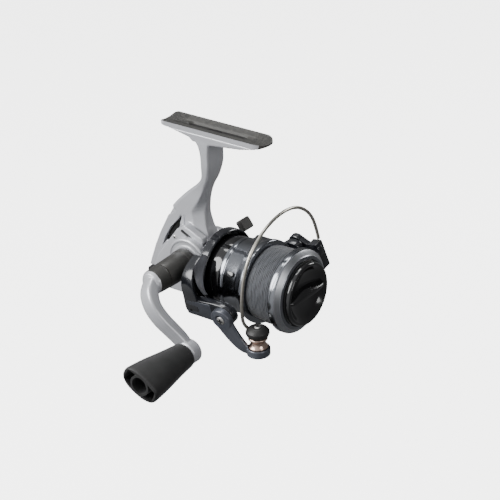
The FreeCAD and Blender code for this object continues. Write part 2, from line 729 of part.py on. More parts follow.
# ------------------------------------------------------------------ spool and drag
def spool():
    """Turned metal spool: skirt, rear flange, arbor, front lip and the drag well."""
    inner_skirt = "skirt_radius - skirt_wall - 0.4"
    corners = [
        ("skirt_back", inner_skirt),
        ("skirt_back", "skirt_radius - 0.4"),
        ("skirt_back + 2.35", "skirt_radius - 0.4"),
        ("skirt_back + 2.35", "skirt_radius - 0.8"),
        ("skirt_back + 3.15", "skirt_radius - 0.8"),
        ("skirt_back + 3.15", "skirt_radius"),
        ("line_back - 7.4", "skirt_radius"),
        ("line_back - 2.5", "spool_radius"),
        ("line_back", "spool_radius"),
        ("line_back", "arbor_radius"),
        ("line_front", "arbor_radius"),
        ("line_front", "spool_radius"),
        ("spool_lip - 0.75", "spool_radius"),
        ("spool_lip", "spool_radius - 0.7"),
        ("spool_lip + 2.3", "knob_radius + 1.3"),
        ("spool_lip + 2.3", "knob_radius + 0.6"),
        ("knob_back - 0.4", "knob_radius + 0.6"),
        ("knob_back - 0.4", "arbor_radius - 1.2"),
        ("33", "arbor_radius - 1.2"),
        ("33", "4.6"),
        ("19.2", "4.6"),
        ("19.2", "5.8"),
        ("31.4", "5.8"),
        ("31.4", "arbor_radius - 1.3"),
        ("line_back - 1.3", "arbor_radius - 1.3"),
        ("line_back - 1.3", inner_skirt),
    ]
    node("spool", turned(corners))
    ring_start = "skirt_back - 7.3"
    node("skirt_ring", tube(ring_start, "skirt_back", "hub_wall + 0.4", "skirt_radius - 0.6"))
    line = [
        ("line_back", "arbor_radius"),
        ("line_front", "arbor_radius"),
        ("line_front", "line_radius - 0.8"),
        ("line_front - 3", "line_radius"),
        ("line_back + 3", "line_radius"),
        ("line_back", "line_radius - 0.8"),
    ]
    node("spool_line", turned(line))
    node("spool_bearing", tube("20", "28", "3 + running_gap", "4.6"))
    clip = block(("4.2", "3", "0.9"), ("line_back - 12.4", "-1.5", "skirt_radius"), on_axis=False)
    turned_clip = compound([clip])
    turned_clip.Placement = FreeCAD.Placement(ORIGIN, FreeCAD.Rotation(X, 62))
    bind(turned_clip, "Placement.Base.x", "body_ahead")
    bind(turned_clip, "Placement.Base.z", "-axis_drop")
    node("line_clip", turned_clip)


def drag_stack():
    """Friction washers in the spool's well and the wire ring that keeps them in."""
    washers = []
    start = 33.0
    for index in range(5):
        thickness = 0.9 if index % 2 else 1.1
        end = start + thickness
        washers.append(tube("%.2f" % start, "%.2f" % end, "shaft_radius + 2.2", "arbor_radius - 1.6"))
        start = end
    node("drag_washers", compound(washers))
    ring = tube("%.2f" % (start + 0.1), "%.2f" % (start + 1), "arbor_radius - 2.4", "arbor_radius - 1.2")
    node("washer_ring", ring)


def drag_knob():
    """Front knob with a raised rim, a dished face and a finger blade across it."""
    corners = [
        ("knob_back", "6.5"),
        ("knob_dish - 1.2", "4"),
        ("knob_dish - 1.2", "0"),
        ("knob_dish", "0"),
        ("knob_dish + 0.4", "knob_radius - 4.5"),
        ("knob_rim - 0.3", "knob_radius - 1.9"),
        ("knob_rim", "knob_radius - 1.1"),
        ("knob_rim - 0.8", "knob_radius"),
        ("knob_back + 3.2", "knob_radius"),
        ("knob_back + 3.2", "knob_radius - 0.5"),
        ("knob_back", "knob_radius - 0.5"),
    ]
    disc = turned(corners)
    half_long = "blade_length / 2"
    blade = slab([
        ("-" + half_long, "-blade_width / 2"),
        ("-blade_length / 6", "-blade_width / 2 - 1.6"),
        ("blade_length / 6", "-blade_width / 2 - 1.6"),
        (half_long, "-blade_width / 2"),
        (half_long, "blade_width / 2"),
        ("blade_length / 6", "blade_width / 2 + 1.6"),
        ("-blade_length / 6", "blade_width / 2 + 1.6"),
        ("-" + half_long, "blade_width / 2"),
    ], "blade_front - knob_dish + 0.8", ("knob_dish - 0.8", "0", "0"), FACE)
    node("drag_knob", fuse([disc, blade]))
    nut = tube("39.2", "knob_back - 0.1", "shaft_radius + running_gap", "5")
    node("drag_nut", nut)
    node("knob_seal", tube("knob_back + 0.3", "knob_back + 3", "knob_radius - 0.5", "knob_radius + 0.35"))


# ------------------------------------------------------------------ rotor and bail
def pinion_gear():
    """Brass pinion: teeth behind, journal and thread in front, bored for the main shaft."""
    teeth = int(size("pinion_teeth"))
    root = size(PINION_PITCH) - size("tooth_deep") * 0.9
    flat = toothed_outline(teeth, size(PINION_PITCH), size(PINION_TIP), root, 0.13, 0.24)
    toothed = coded(flat.extrude(FreeCAD.Vector(0, 0, size("face_band * 2 + 2"))))
    place(toothed, ("-gear_back + face_pitch - face_band - 1", "0", "0"), PINION_FRAME)
    journal_start = "-gear_back + face_pitch + face_band + 1"
    journal_long = "hub_front + 2.6 - (" + journal_start + ")"
    journal = rod(PINION_JOURNAL, journal_long, (journal_start, "0", "0"), ALONG_X)
    bore = rod("shaft_radius + running_gap", "60", ("-30", "0", "0"), ALONG_X)
    return node("pinion_gear", cut(fuse([toothed, journal]), [bore]))


# a pinion tooth points straight at the face gear, toward -Y
DOWN = FreeCAD.Vector(0, 0, -1)
NEAR = FreeCAD.Vector(0, -1, 0)
PINION_FRAME = FreeCAD.Rotation(NEAR, DOWN, X, "XYZ")


def rotor():
    """Cup that turns round the nose, with two arms that carry the bail."""
    cup = turned([
        ("-cup_back", "hub_wall - 1.1"),
        ("-cup_back", "cup_radius - 1"),
        ("-cup_back + 1.2", "cup_radius"),
        ("cup_rim - 0.6", "cup_radius"),
        ("cup_rim", "cup_radius - 0.6"),
        ("cup_rim", "cup_radius - cup_wall"),
        ("-cup_back + 1.3", "cup_radius - cup_wall"),
        ("-cup_back + 1.3", "hub_wall"),
        ("hub_front - 0.8", "hub_wall"),
        ("hub_front", "hub_wall - 0.8"),
        ("hub_front", PINION_JOURNAL),
        ("nose_front + 1", PINION_JOURNAL),
        ("nose_front + 1", "hub_wall - 1.1"),
    ], on_axis=False)
    arms = [rotor_arm(-1, "-arm_half"), rotor_arm(1, "1")]
    trim = rod("cup_radius - cup_wall", "80", ("-cup_back + 1.3", "0", "0"), ALONG_X, on_axis=False)
    inner = rod("hub_wall - 1.1", "40", ("-cup_back - 20", "0", "0"), ALONG_X, on_axis=False)
    cut_arms = cut(fuse(arms), [trim, inner])
    return node("rotor", on_rotor(fuse([cup, cut_arms])))


def rotor_arm(side, edge):
    """One arm in the rotor's frame: a wing that rises behind and narrows to the pivot."""
    def signed(formula):
        return "-(" + formula + ")" if side > 0 else formula
    near = "-arm_outer" if side < 0 else "arm_inner"
    outline = [
        ("-cup_back + 1", signed(edge)),
        ("arm_pivot - arm_half - 1", signed(edge)),
        ("arm_pivot - 1", signed("-arm_half * 0.85")),
        ("arm_pivot + 4", signed("-arm_half * 0.65")),
        ("arm_pivot + 6", "0"),
        ("arm_pivot + 4", signed("arm_half * 0.65")),
        ("arm_pivot - 1", signed("arm_half")),
        ("cup_rim + 4", signed("arm_half + 3")),
        ("cup_rim", signed("wing_rise * 0.75")),
        ("-cup_back + 1", signed("wing_rise * 0.85")),
    ]
    thick = "arm_outer - arm_inner"
    plate = slab(outline, thick, ("0", near + " + " + thick, "0"), SIDE, on_axis=False)
    fairing = slab([
        (signed("-arm_inner - 0.2"), signed(edge)),
        (signed("-arm_inner - 0.2"), signed("wing_rise * 0.75")),
        (signed("-arm_inner * 0.83"), signed("wing_rise")),
        (signed("-cup_radius * 0.55"), signed("cup_radius * 0.9")),
        (signed("-cup_radius * 0.5"), signed("cup_radius * 0.5")),
        (signed("-cup_radius * 0.8"), signed(edge)),
    ], "cup_rim + cup_back - 2", ("-cup_back + 1", "0", "0"), FACE, on_axis=False)
    hole_start = "-arm_outer - 2" if side < 0 else "arm_inner - 2"
    hole = rod("1.5", "20", ("arm_pivot", hole_start, "0"), ALONG_Y, on_axis=False)
    room_start = "-arm_outer" if side < 0 else "arm_outer - 0.9"
    room = arm_cover(side, room_start, edge)
    return cut(fuse([plate, fairing]), [hole, room])


def arm_cover(side, start, edge):
    """The flush cover over an arm's wing, where the bail's spring lies."""
    def signed(formula):
        return "-(" + formula + ")" if side > 0 else formula
    outline = [
        ("-cup_back + 2.4", signed(edge + " + 1.2")),
        ("arm_pivot - bail_half - 1.5", signed(edge + " + 1.2")),
        ("arm_pivot - bail_half - 1.5", signed("arm_half - 1")),
        ("cup_rim + 3", signed("arm_half + 1")),
        ("-cup_back + 2.4", signed("wing_rise * 0.85 - 2")),
    ]
    return slab(outline, "0.9", ("0", start + " + 0.9", "0"), SIDE, on_axis=False)


def rotor_small_parts():
    node("clutch_sleeve", tube("0.8", "nose_front + 1", PINION_JOURNAL, SLEEVE_RADIUS))
    nut = tube("hub_front", "hub_front + 2.4", PINION_JOURNAL, "5.2")
    node("rotor_nut", nut)
    covers = [arm_cover(-1, "-arm_outer", "-arm_half"), arm_cover(1, "arm_outer - 0.9", "1")]
    node("arm_covers", on_rotor(compound(covers)))


def bail_plate(side, ahead, low, end_half):
    """A bail lever: round at the pivot and reaching ahead to its end."""
    inner = "-bail_outer" if side < 0 else "bail_inner"
    thick = "(bail_outer - bail_inner)"
    round_end = rod("bail_half", thick, ("arm_pivot", inner, "0"), ALONG_Y, on_axis=False)
    run = slab([
        ("arm_pivot - bail_half * 0.55", "-bail_half * 0.8"),
        ("arm_pivot + " + ahead + " - " + end_half, low + " - " + end_half),
        ("arm_pivot + " + ahead + " + " + end_half, low + " - " + end_half + " * 0.6"),
        ("arm_pivot + " + ahead + " + " + end_half, low + " + " + end_half),
        ("arm_pivot + bail_half * 0.6", "bail_half * 0.8"),
    ], thick, ("0", inner + " + " + thick, "0"), SIDE, on_axis=False)
    return [round_end, run]


def roller_frame():
    """Rotation that sends a lathe outline's X axis to the roller's axis, upright at rest."""
    tilt = size("rotor_angle")
    way = FreeCAD.Vector(0, math.sin(math.radians(tilt)), math.cos(math.radians(tilt)))
    return FreeCAD.Rotation(X, way)


ROLLER_SPOT = ("arm_pivot + roller_ahead", "-roller_side", "-roller_low")


def bail():
    """Arm, wire and holder that swing together to free the line."""
    frame = roller_frame()
    lever = bail_plate(-1, "roller_ahead * 0.62", "-roller_low * 0.8", "3.4")
    foot = turned([("-6.4", "0"), ("-2.9", "0"), ("-2.9", "5.9"), ("-6.4", "5.9")],
                  ROLLER_SPOT, frame, on_axis=False)
    bridge = block(("7.7", "7.6", "5"),
                   ("arm_pivot + roller_ahead - 6.2", "-bail_outer", "-roller_low - 4.6"), on_axis=False)
    pivot_hole = rod("1.7", "30", ("arm_pivot", "-bail_outer - 9", "0"), ALONG_Y, on_axis=False)
    head_room = rod("2.4", "9.6", ("arm_pivot", "-bail_outer - 9", "0"), ALONG_Y, on_axis=False)
    roller_room = turned([("-2.9", "0"), ("9.6", "0"), ("9.6", "6.6"), ("-2.9", "6.6")],
                         ROLLER_SPOT, frame, on_axis=False)
    arm = cut(fuse(lever + [foot, bridge]), [pivot_hole, head_room, roller_room])
    node("bail_arm", on_rotor(arm))
    post = turned([("-2.9", "0"), ("3.9", "0"), ("3.9", "1.6"), ("-2.9", "1.6")],
                  ROLLER_SPOT, frame, on_axis=False)
    node("roller_post", on_rotor(compound([post])))
    cap = turned([("3.9", "0"), ("9.2", "0"), ("9.2", "3.4"), ("8.2", "5"), ("6.6", "roller_cap_radius"),
                  ("5.2", "5.5"), ("3.9", "4.4")], ROLLER_SPOT, frame, on_axis=False)
    node("roller_cap", on_rotor(compound([cap])))
    screw = turned([("9.2", "0"), ("9.7", "0"), ("9.7", "1.7"), ("9.2", "2.1")],
                   ROLLER_SPOT, frame, on_axis=False)
    node("roller_screw", on_rotor(compound([screw])))
    roller = turned([
        ("-2.6", "1.6 + running_gap"),
        ("3.6", "1.6 + running_gap"),
        ("3.6", "roller_radius"),
        ("2.6", "roller_radius"),
        ("1.2", "roller_radius - 1.1"),
        ("-0.2", "roller_radius - 1.1"),
        ("-1.6", "roller_radius"),
        ("-2.6", "roller_radius"),
    ], ROLLER_SPOT, frame, on_axis=False)
    node("line_roller", on_rotor(compound([roller])))
    holder = bail_plate(1, "11", "-3", "3.6")
    tip = slab([
        ("arm_pivot + 7", "1.6"),
        ("arm_pivot + 13", "2.6"),
        ("arm_pivot + 15.6", "-13"),
        ("arm_pivot + 12.4", "-11.8"),
        ("arm_pivot + 8", "-6"),
    ], "bail_outer - bail_inner + 1.8", ("0", "bail_outer + 1.8", "0"), SIDE, on_axis=False)
    far_hole = rod("1.7", "30", ("arm_pivot", "bail_inner - 9", "0"), ALONG_Y, on_axis=False)
    far_head = rod("2.4", "9", ("arm_pivot", "bail_outer - 0.6", "0"), ALONG_Y, on_axis=False)
    node("bail_holder", on_rotor(cut(fuse(holder + [tip]), [far_hole, far_head])))
    node("bail_wire", on_rotor(coded(bail_wire_shape())))
    screws = []
    for side in (-1, 1):
        rotation = LATHE_Y if side > 0 else LATHE_NEAR
        screws.append(turned([
            ("arm_inner + 0.4", "0"),
            ("bail_outer + 0.4", "0"),
            ("bail_outer + 0.4", "2"),
            ("bail_outer - 0.6", "2.3"),
            ("bail_outer - 0.6", "1.7"),
            ("arm_outer + 0.3", "1.7"),
            ("arm_outer + 0.3", "1.44"),
            ("arm_inner + 0.4", "1.44"),
        ], ("arm_pivot", "0", "0"), rotation, on_axis=False))
    node("bail_screws", on_rotor(compound(screws)))


# the wire's stations from the roller's cap to the holder: turn about the spool axis,
# share of the wire's reach, and distance ahead of the bail's pivot
WIRE_STATIONS = (
    (198, 0.688, 14.5),
    (195, 0.70, 11.4),
    (183, 0.745, 10.9),
    (169, 0.785, 12.6),
    (153, 0.82, 13.5),
    (136, 0.90, 14.3),
    (118, 0.99, 15.0),
    (98, 1.0, 15.2),
    (77, 1.0, 14.8),
    (56, 1.0, 13.4),
    (35, 0.97, 12.0),
    (18, 0.94, 11.0),
    (3, 0.915, 10.3),
)


def bail_wire_shape():
    """A round wire bowed from the roller's cap over the spool to the holder."""
    reach = size("wire_reach")
    pivot = size("arm_pivot")
    points = []
    for turn, share, ahead in WIRE_STATIONS:
        angle = math.radians(turn)
        radius = reach * share
        points.append(FreeCAD.Vector(pivot + ahead, radius * math.cos(angle), radius * math.sin(angle)))
    path = rounded_path(points)
    way = points[1] - points[0]
    circle = Part.makeCircle(size("wire_radius"), points[0], way)
    return path.makePipeShell([Part.Wire([circle])], True, False)


# ------------------------------------------------------------------ handle
CRANK_WAY = "sqrt(crank_ahead^2 + crank_low^2)"


def crank_frame():
    """Rotation whose X runs along the crank, Y outward from the body, Z along the hinge pin."""
    ahead = size("crank_ahead")
    low = size("crank_low")
    along = FreeCAD.Vector(ahead, 0, -low).normalize()
    outward = FreeCAD.Vector(0, -1, 0)
    pin = along.cross(outward)
    return FreeCAD.Rotation(along, outward, pin, "XYZ")


def at_handle(piece):
    return place(piece, GEAR_SPOT, crank_frame())


def handle_collar():
    """Tapered socket screwed into the drive gear, ending in the hinge's tongue."""
    collar = turned([
        ("collar_start", "0"),
        ("collar_start", "collar_radius"),
        ("collar_start + 4.3", "collar_radius - 0.1"),
        ("collar_start + 4.5", "collar_radius - 0.4"),
        ("collar_end", "collar_end_radius"),
        ("collar_end", "0"),
    ], rotation=LATHE_Y, on_axis=False)
    tongue = block(("6.4", "hinge_side + 1.9 - collar_end + 1", "2 * tongue_half"),
                   ("-3.2", "collar_end - 1", "-tongue_half"), on_axis=False)
    whole = fuse([collar, tongue])
    bolt_hole = rod("bolt_radius", "9", ("0", "collar_start - 2", "0"), ALONG_Y, on_axis=False)
    pin_hole = rod("hinge_pin_radius", "30", ("0", "hinge_side", "-15"), UPRIGHT, on_axis=False)
    node("handle_collar", at_handle(cut(whole, [bolt_hole, pin_hole])))
    bolt = turned([
        ("-far_boss_face - 2.7", "0"),
        ("collar_start + 6.6", "0"),
        ("collar_start + 6.6", "bolt_radius"),
        ("-far_boss_face - 2.7", "bolt_radius"),
    ], rotation=LATHE_Y, on_axis=False)
    node("handle_bolt", at_handle(compound([bolt])))
    cap = turned([
        ("-far_boss_face - 3.4", "0"),
        ("-far_boss_face - 3.2", "4.6"),
        ("-far_boss_face - 2.2", "6.6"),
        ("-far_boss_face - 0.4", "7"),
        ("-far_boss_face - 0.4", "bolt_radius"),
        ("-far_boss_face - 2.7", "bolt_radius"),
        ("-far_boss_face - 2.7", "0"),
    ], rotation=LATHE_Y, on_axis=False)
    node("bolt_cap", at_handle(compound([cap])))


def handle_arm():
    """Root barrel with its fork, the bowed arm and the boss that carries the knob."""
    root = turned([
        ("collar_end + 0.2", "0"),
        ("collar_end + 0.2", "collar_end_radius"),
        ("hinge_side + 4.4", "collar_end_radius - 0.5"),
        ("hinge_side + 6.6", "collar_end_radius - 2.6"),
        ("hinge_side + 6.6", "0"),
    ], rotation=LATHE_Y, on_axis=False)
    length = CRANK_WAY
    boss = rod("arm_end_radius", "6.6", (length, "arm_end_side - 3.2", "0"), ALONG_Y, on_axis=False)
    grip_room = rod("knob_root + 2", "9", (length, "knob_inner - 0.3", "0"), ALONG_Y, on_axis=False)
    bow = coded(arm_bow())
    fork_room = block(("30", "hinge_side + 3.4 - collar_end", "2 * tongue_half + 0.3"),
                      ("-15", "collar_end", "-tongue_half - 0.15"), on_axis=False)
    relief = slab([
        ("0.6", "collar_end"),
        ("collar_end_radius + 1", "collar_end"),
        ("collar_end_radius + 1", "collar_end + 3.9"),
    ], "30", ("0", "0", "-15"), UPRIGHT, on_axis=False)
    pin_spot = ("0", "hinge_side", "-15")
    pin_hole = rod("hinge_pin_radius + running_gap", "30", pin_spot, UPRIGHT, on_axis=False)
    post_hole = rod("post_radius", "30", (length, "arm_end_side - 9", "0"), ALONG_Y, on_axis=False)
    arm = cut(fuse([root, boss, bow]), [fork_room, relief, pin_hole, post_hole, grip_room])
    node("handle_arm", at_handle(arm))
    pin = rod("hinge_pin_radius", "11.6", ("0", "hinge_side", "-5.8"), UPRIGHT, on_axis=False)
    node("hinge_pin", at_handle(compound([pin])))


def arm_bow():
    """The arm's blade: an oval bar that bows outward between root and boss."""
    length = size(CRANK_WAY)
    side = size("hinge_side")
    end = size("arm_end_side")
    points = [
        FreeCAD.Vector(0, side + 2.4, 0),
        FreeCAD.Vector(length * 0.06, side + 10, 0),
        FreeCAD.Vector(length * 0.31, side + 15, 0),
        FreeCAD.Vector(length * 0.6, side + 12.6, 0),
        FreeCAD.Vector(length * 0.8, end + 0.6, 0),
        FreeCAD.Vector(length, end - 0.2, 0),
    ]
    path = rounded_path(points)
    start = points[0]
    way = (points[1] - points[0]).normalize()
    side_way = FreeCAD.Vector(way.y, -way.x, 0)
    oval = Part.Ellipse(start + Z * 4.1, start + side_way * 2.8, start)
    return path.makePipeShell([Part.Wire([oval.toShape()])], True, False)


def knob():
    """Flared paddle grip, free to spin on its post."""
    length = CRANK_WAY
    spot = (length, "0", "0")
    lie = FreeCAD.Rotation(Y, size("knob_turn")).multiply(ALONG_Y)
    sections = []
    for share, half_wide, half_thick in ((0.0, "knob_root - 0.6", "knob_thick - 1.2"),
                                         (0.12, "knob_root", "knob_thick - 0.5"),
                                         (0.55, "(knob_root + knob_flare) / 2", "knob_thick"),
                                         (0.93, "knob_flare", "knob_thick + 0.1"),
                                         (1.0, "knob_flare - 0.8", "knob_thick - 0.7")):
        along = "knob_inner + (knob_outer - knob_inner) * %.2f" % share
        sections.append(ellipse(half_wide, half_thick, (length, along, "0"), lie, on_axis=False))
    grip = loft(sections)
    bore = rod("post_radius + running_gap", "90", (length, "knob_inner - 5", "0"), ALONG_Y, on_axis=False)
    bush_seats = [rod("3.4", "5", (length, start, "0"), ALONG_Y, on_axis=False)
                  for start in ("knob_inner - 1", "knob_outer - 14.6")]
    end_hollow = rod("4.4", "11", (length, "knob_outer - 10.6", "0"), ALONG_Y, on_axis=False)
    pockets = []
    for side in (1, -1):
        reach = "(%d) * (knob_flare - 4.3)" % side
        spot_x = length + " + " + reach + " * cos(knob_turn)"
        spot_z = "-" + reach + " * sin(knob_turn)"
        pocket = rod("3", "8", (spot_x, "knob_outer - 7", spot_z), ALONG_Y, on_axis=False)
        keep = rod("5.3", "9", (length, "knob_outer - 7.5", "0"), ALONG_Y, on_axis=False)
        pockets.append(cut(pocket, [keep]))
    node("knob", at_handle(cut(grip, [bore] + bush_seats + [end_hollow] + pockets)))
    bushes = []
    for start, end in (("knob_inner", "knob_inner + 4"), ("knob_outer - 14.6", "knob_outer - 10.6")):
        bush = tube(start, end, "post_radius + running_gap", "3.4", spot, LATHE_Y, on_axis=False)
        bushes.append(bush)
    node("knob_bushes", at_handle(compound(bushes)))
    post = turned([
        ("arm_end_side - 3.2", "0"),
        ("knob_outer - 10.2", "0"),
        ("knob_outer - 10.2", "post_radius"),
        ("arm_end_side - 3.2", "post_radius"),
    ], spot, LATHE_Y, on_axis=False)
    node("knob_post", at_handle(compound([post])))
    screw = turned([
        ("knob_outer - 10.2", "0"),
        ("knob_outer - 8.9", "0"),
        ("knob_outer - 8.9", "2.9"),
        ("knob_outer - 10.2", "3.3"),
    ], spot, LATHE_Y, on_axis=False)
    node("post_screw", at_handle(compound([screw])))


def build():
    body_frame()
    side_cover()
    cover_screws()
    tail_cap()
    tail_screw()
    window_inlays()
    bearings()
    clutch()
    guide_rod()
    drive_gear()
    swing_gear()
    main_shaft()
    shaft_slider()
    spool_seat()
    spool()
    drag_stack()
    drag_knob()
    pinion_gear()
    rotor()
    rotor_small_parts()
    bail()
    handle_collar()
    handle_arm()
    knob()


def check():
    """Stop before anything is written if a feature failed."""
    for thing in doc.Objects:
        faults = [word for word in thing.State if word in ("Invalid", "Error")]
        if faults:
            raise RuntimeError("%s (%s) is %s" % (thing.Name, thing.Label, faults))
    for thing in NODES:
        if thing.Shape.isNull() or not thing.Shape.isValid():
            raise RuntimeError("%s has no valid shape" % thing.Label)


def export():
    os.makedirs("parts", exist_ok=True)
    for thing in NODES:
        thing.Shape.exportStep("parts/%s.step" % thing.Label)
        box = thing.Shape.BoundBox
        print("%-20s solids %2d volume %9.1f  x %6.1f..%6.1f y %6.1f..%6.1f z %6.1f..%6.1f" % (
            thing.Label, len(thing.Shape.Solids), thing.Shape.Volume,
            box.XMin, box.XMax, box.YMin, box.YMax, box.ZMin, box.ZMax))


build()
doc.recompute()
check()
export()
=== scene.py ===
# %% [markdown]
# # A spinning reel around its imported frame
# The frame holds every part of the reel as a plain solid, already in place. This lesson gives the
# parts their real surfaces: cast and painted metal, a turned and polished spool, braided line, a
# rubber grip. Lengths are worked in millimetres and turned to metres at the end of each piece.

# %% Load the frame
import math

import bmesh
import bpy
from mathutils import Matrix, Vector


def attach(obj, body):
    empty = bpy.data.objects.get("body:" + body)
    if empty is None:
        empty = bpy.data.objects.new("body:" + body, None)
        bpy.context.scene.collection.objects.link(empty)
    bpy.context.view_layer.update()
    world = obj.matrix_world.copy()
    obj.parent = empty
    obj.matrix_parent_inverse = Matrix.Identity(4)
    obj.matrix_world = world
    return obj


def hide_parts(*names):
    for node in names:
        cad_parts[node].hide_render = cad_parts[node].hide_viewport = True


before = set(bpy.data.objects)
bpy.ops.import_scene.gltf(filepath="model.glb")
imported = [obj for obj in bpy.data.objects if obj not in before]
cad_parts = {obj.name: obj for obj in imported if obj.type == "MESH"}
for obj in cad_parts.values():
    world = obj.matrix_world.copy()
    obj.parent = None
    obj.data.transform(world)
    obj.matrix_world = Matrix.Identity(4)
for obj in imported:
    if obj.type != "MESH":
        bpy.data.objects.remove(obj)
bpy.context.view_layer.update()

# %% [markdown]
# ## Where things are
# Four local frames make the shapes easy to write. BODY has its origin on the spool's axis, under
# the rod seat. ROTOR is the same, turned to the angle the rotor rests at. GEAR sits on the drive
# gear's axis. CRANK also sits there, with X along the crank, Y outward and Z along the hinge pin.

# %% Local frames
MM = 0.001
METRES = Matrix.Scale(MM, 4)
PIVOT_AHEAD = 19.6          # the bail's pivots, ahead of the rotor frame's origin
PLATE_FACE = -9.95          # the side plate's outer face
BODY = Matrix.Translation((1.9, 0, -77))
ROTOR = BODY @ Matrix.Rotation(math.radians(13.2), 4, "X")
GEAR = BODY @ Matrix.Translation((-16.15, 0, 6.5))
CRANK_AHEAD = 22.8
CRANK_LOW = 30.8
CRANK_LENGTH = math.hypot(CRANK_AHEAD, CRANK_LOW)
along = Vector((CRANK_AHEAD, 0, -CRANK_LOW)).normalized()
outward = Vector((0, -1, 0))
CRANK = GEAR @ Matrix((along, outward, along.cross(outward))).transposed().to_4x4()
OUTWARD = Matrix.Rotation(math.radians(90), 4, "Z")        # sends a lathe's X to local Y
KNOB = CRANK @ Matrix.Translation((CRANK_LENGTH, 0, 0))
print("crank length", round(CRANK_LENGTH, 2), "mm")

# %% [markdown]
# ## Shapes from operators
# Most parts of a reel are turned, cut from plate, or cast. A turned part is half an outline spun
# round an axis. A plate is an outline extruded and bevelled. A casting is a row of closed rings
# bridged into a skin. One helper does each, and one more rounds the sharp edges, because an edge
# with no rounding never catches the light.

# %% Helpers that make and round shapes
def soften(bm, width, segments=3, angle=25):
    """Bevel every edge whose two faces meet at more than an angle."""
    limit = math.radians(angle)
    sharp = [edge for edge in bm.edges if len(edge.link_faces) == 2 and edge.calc_face_angle() > limit]
    bmesh.ops.bevel(bm, geom=sharp, offset=width, offset_type="OFFSET", segments=segments,
                    profile=0.5, affect="EDGES", clamp_overlap=True, material=-1)
    return bm


def turned(profile, closed=False, steps=96):
    """Spin an outline of (distance along, radius) points round the X axis."""
    bm = bmesh.new()
    points = [bm.verts.new((distance, 0, radius)) for distance, radius in profile]
    ends = points[1:] + points[:1] if closed else points[1:]
    edges = [bm.edges.new(pair) for pair in zip(points, ends)]
    bmesh.ops.spin(bm, geom=points + edges, cent=(0, 0, 0), axis=(1, 0, 0),
                   angle=2 * math.pi, steps=steps, use_merge=True)
    bmesh.ops.remove_doubles(bm, verts=bm.verts, dist=0.002)
    bmesh.ops.recalc_face_normals(bm, faces=bm.faces)
    return bm


def plate(outline, low, high, corner=0.0, normal="Y"):
    """Extrude an outline between two levels of one axis, with its corners rounded."""
    placed = {"Y": lambda u, v, w: (u, w, v), "X": lambda u, v, w: (w, u, v)}[normal]
    bm = bmesh.new()
    face = bm.faces.new([bm.verts.new(placed(u, v, low)) for u, v in outline])
    grown = bmesh.ops.extrude_face_region(bm, geom=[face])["geom"]
    tops = [item for item in grown if isinstance(item, bmesh.types.BMVert)]
    bmesh.ops.translate(bm, verts=tops, vec=placed(0, 0, high - low))
    if corner:
        axis = Vector(placed(0, 0, 1))
        uprights = [edge for edge in bm.edges
                    if abs((edge.verts[0].co - edge.verts[1].co).normalized().dot(axis)) > 0.99]
        bmesh.ops.bevel(bm, geom=uprights, offset=corner, offset_type="OFFSET", segments=5,
                        profile=0.5, affect="EDGES", clamp_overlap=True, material=-1)
    bmesh.ops.recalc_face_normals(bm, faces=bm.faces)
    return bm


def lofted(rings, sides=48):
    """Bridge closed rings, each (centre, half across, half up, squareness), into a skin."""
    bm = bmesh.new()
    loops = []
    for centre, across, up, squareness in rings:
        made = bmesh.ops.create_circle(bm, cap_ends=False, segments=sides, radius=1)["verts"]
        for vert in made:
            x, y = (math.copysign(abs(share) ** (2 / squareness), share) for share in vert.co[:2])
            vert.co = centre + across * x + up * y
        loops.append(list({edge for vert in made for edge in vert.link_edges}))
    for first, second in zip(loops, loops[1:]):
        bmesh.ops.bridge_loops(bm, edges=first + second)
    bmesh.ops.holes_fill(bm, edges=loops[0] + loops[-1], sides=0)
    bmesh.ops.recalc_face_normals(bm, faces=bm.faces)
    return bm


def flowing(stations, steps=6):
    """Fill in rows between stations so that every column changes smoothly."""
    rows = []
    for index in range(len(stations) - 1):
        before = stations[max(index - 1, 0)]
        after = stations[min(index + 2, len(stations) - 1)]
        for step in range(steps):
            t = step / steps
            row = []
            for p0, p1, p2, p3 in zip(before, stations[index], stations[index + 1], after):
                bend = (2 * p0 - 5 * p1 + 4 * p2 - p3) * t + (3 * p1 - p0 - 3 * p2 + p3) * t * t
                row.append(p1 + 0.5 * t * (p2 - p0 + bend))
            rows.append(row)
    rows.append(list(stations[-1]))
    return rows


def skinned(outlines):
    """Bridge outlines that have as many corners each, and close both ends."""
    bm = bmesh.new()
    loops = []
    for outline in outlines:
        verts = [bm.verts.new(point) for point in outline]
        loops.append([bm.edges.new(pair) for pair in zip(verts, verts[1:] + verts[:1])])
    for first, second in zip(loops, loops[1:]):
        bmesh.ops.bridge_loops(bm, edges=first + second)
    bmesh.ops.holes_fill(bm, edges=loops[0] + loops[-1], sides=0)
    bmesh.ops.recalc_face_normals(bm, faces=bm.faces)
    return bm


def smooth_loop(points, steps=5):
    """A closed curve through points, as a finer outline."""
    looped = [points[-1]] + list(points) + list(points[:2])
    return flowing(looped, steps)[steps:-steps - 1]


def moved(bm, matrix):
    bmesh.ops.transform(bm, matrix=matrix, verts=bm.verts)
    return bm


def joined(*shapes):
    """Put several shapes in one bmesh."""
    whole = bmesh.new()
    for shape in shapes:
        scrap = bpy.data.meshes.new("scrap")
        shape.to_mesh(scrap)
        shape.free()
        whole.from_mesh(scrap)
        bpy.data.meshes.remove(scrap)
    return whole


# %% [markdown]
# ## From shape to piece
# Each finished shape becomes an object at the origin, rides on the body it belongs to and hides
# the plain solid it stands for. Castings are first rebuilt on a fine voxel grid and smoothed,
# which melts overlapping shapes into one skin with the soft inner corners that a mould leaves.

# %% Helpers that finish a piece
pieces = {}


def shaded(mesh, angle):
    mesh.shade_smooth()
    mesh.set_sharp_from_angle(angle=math.radians(angle))


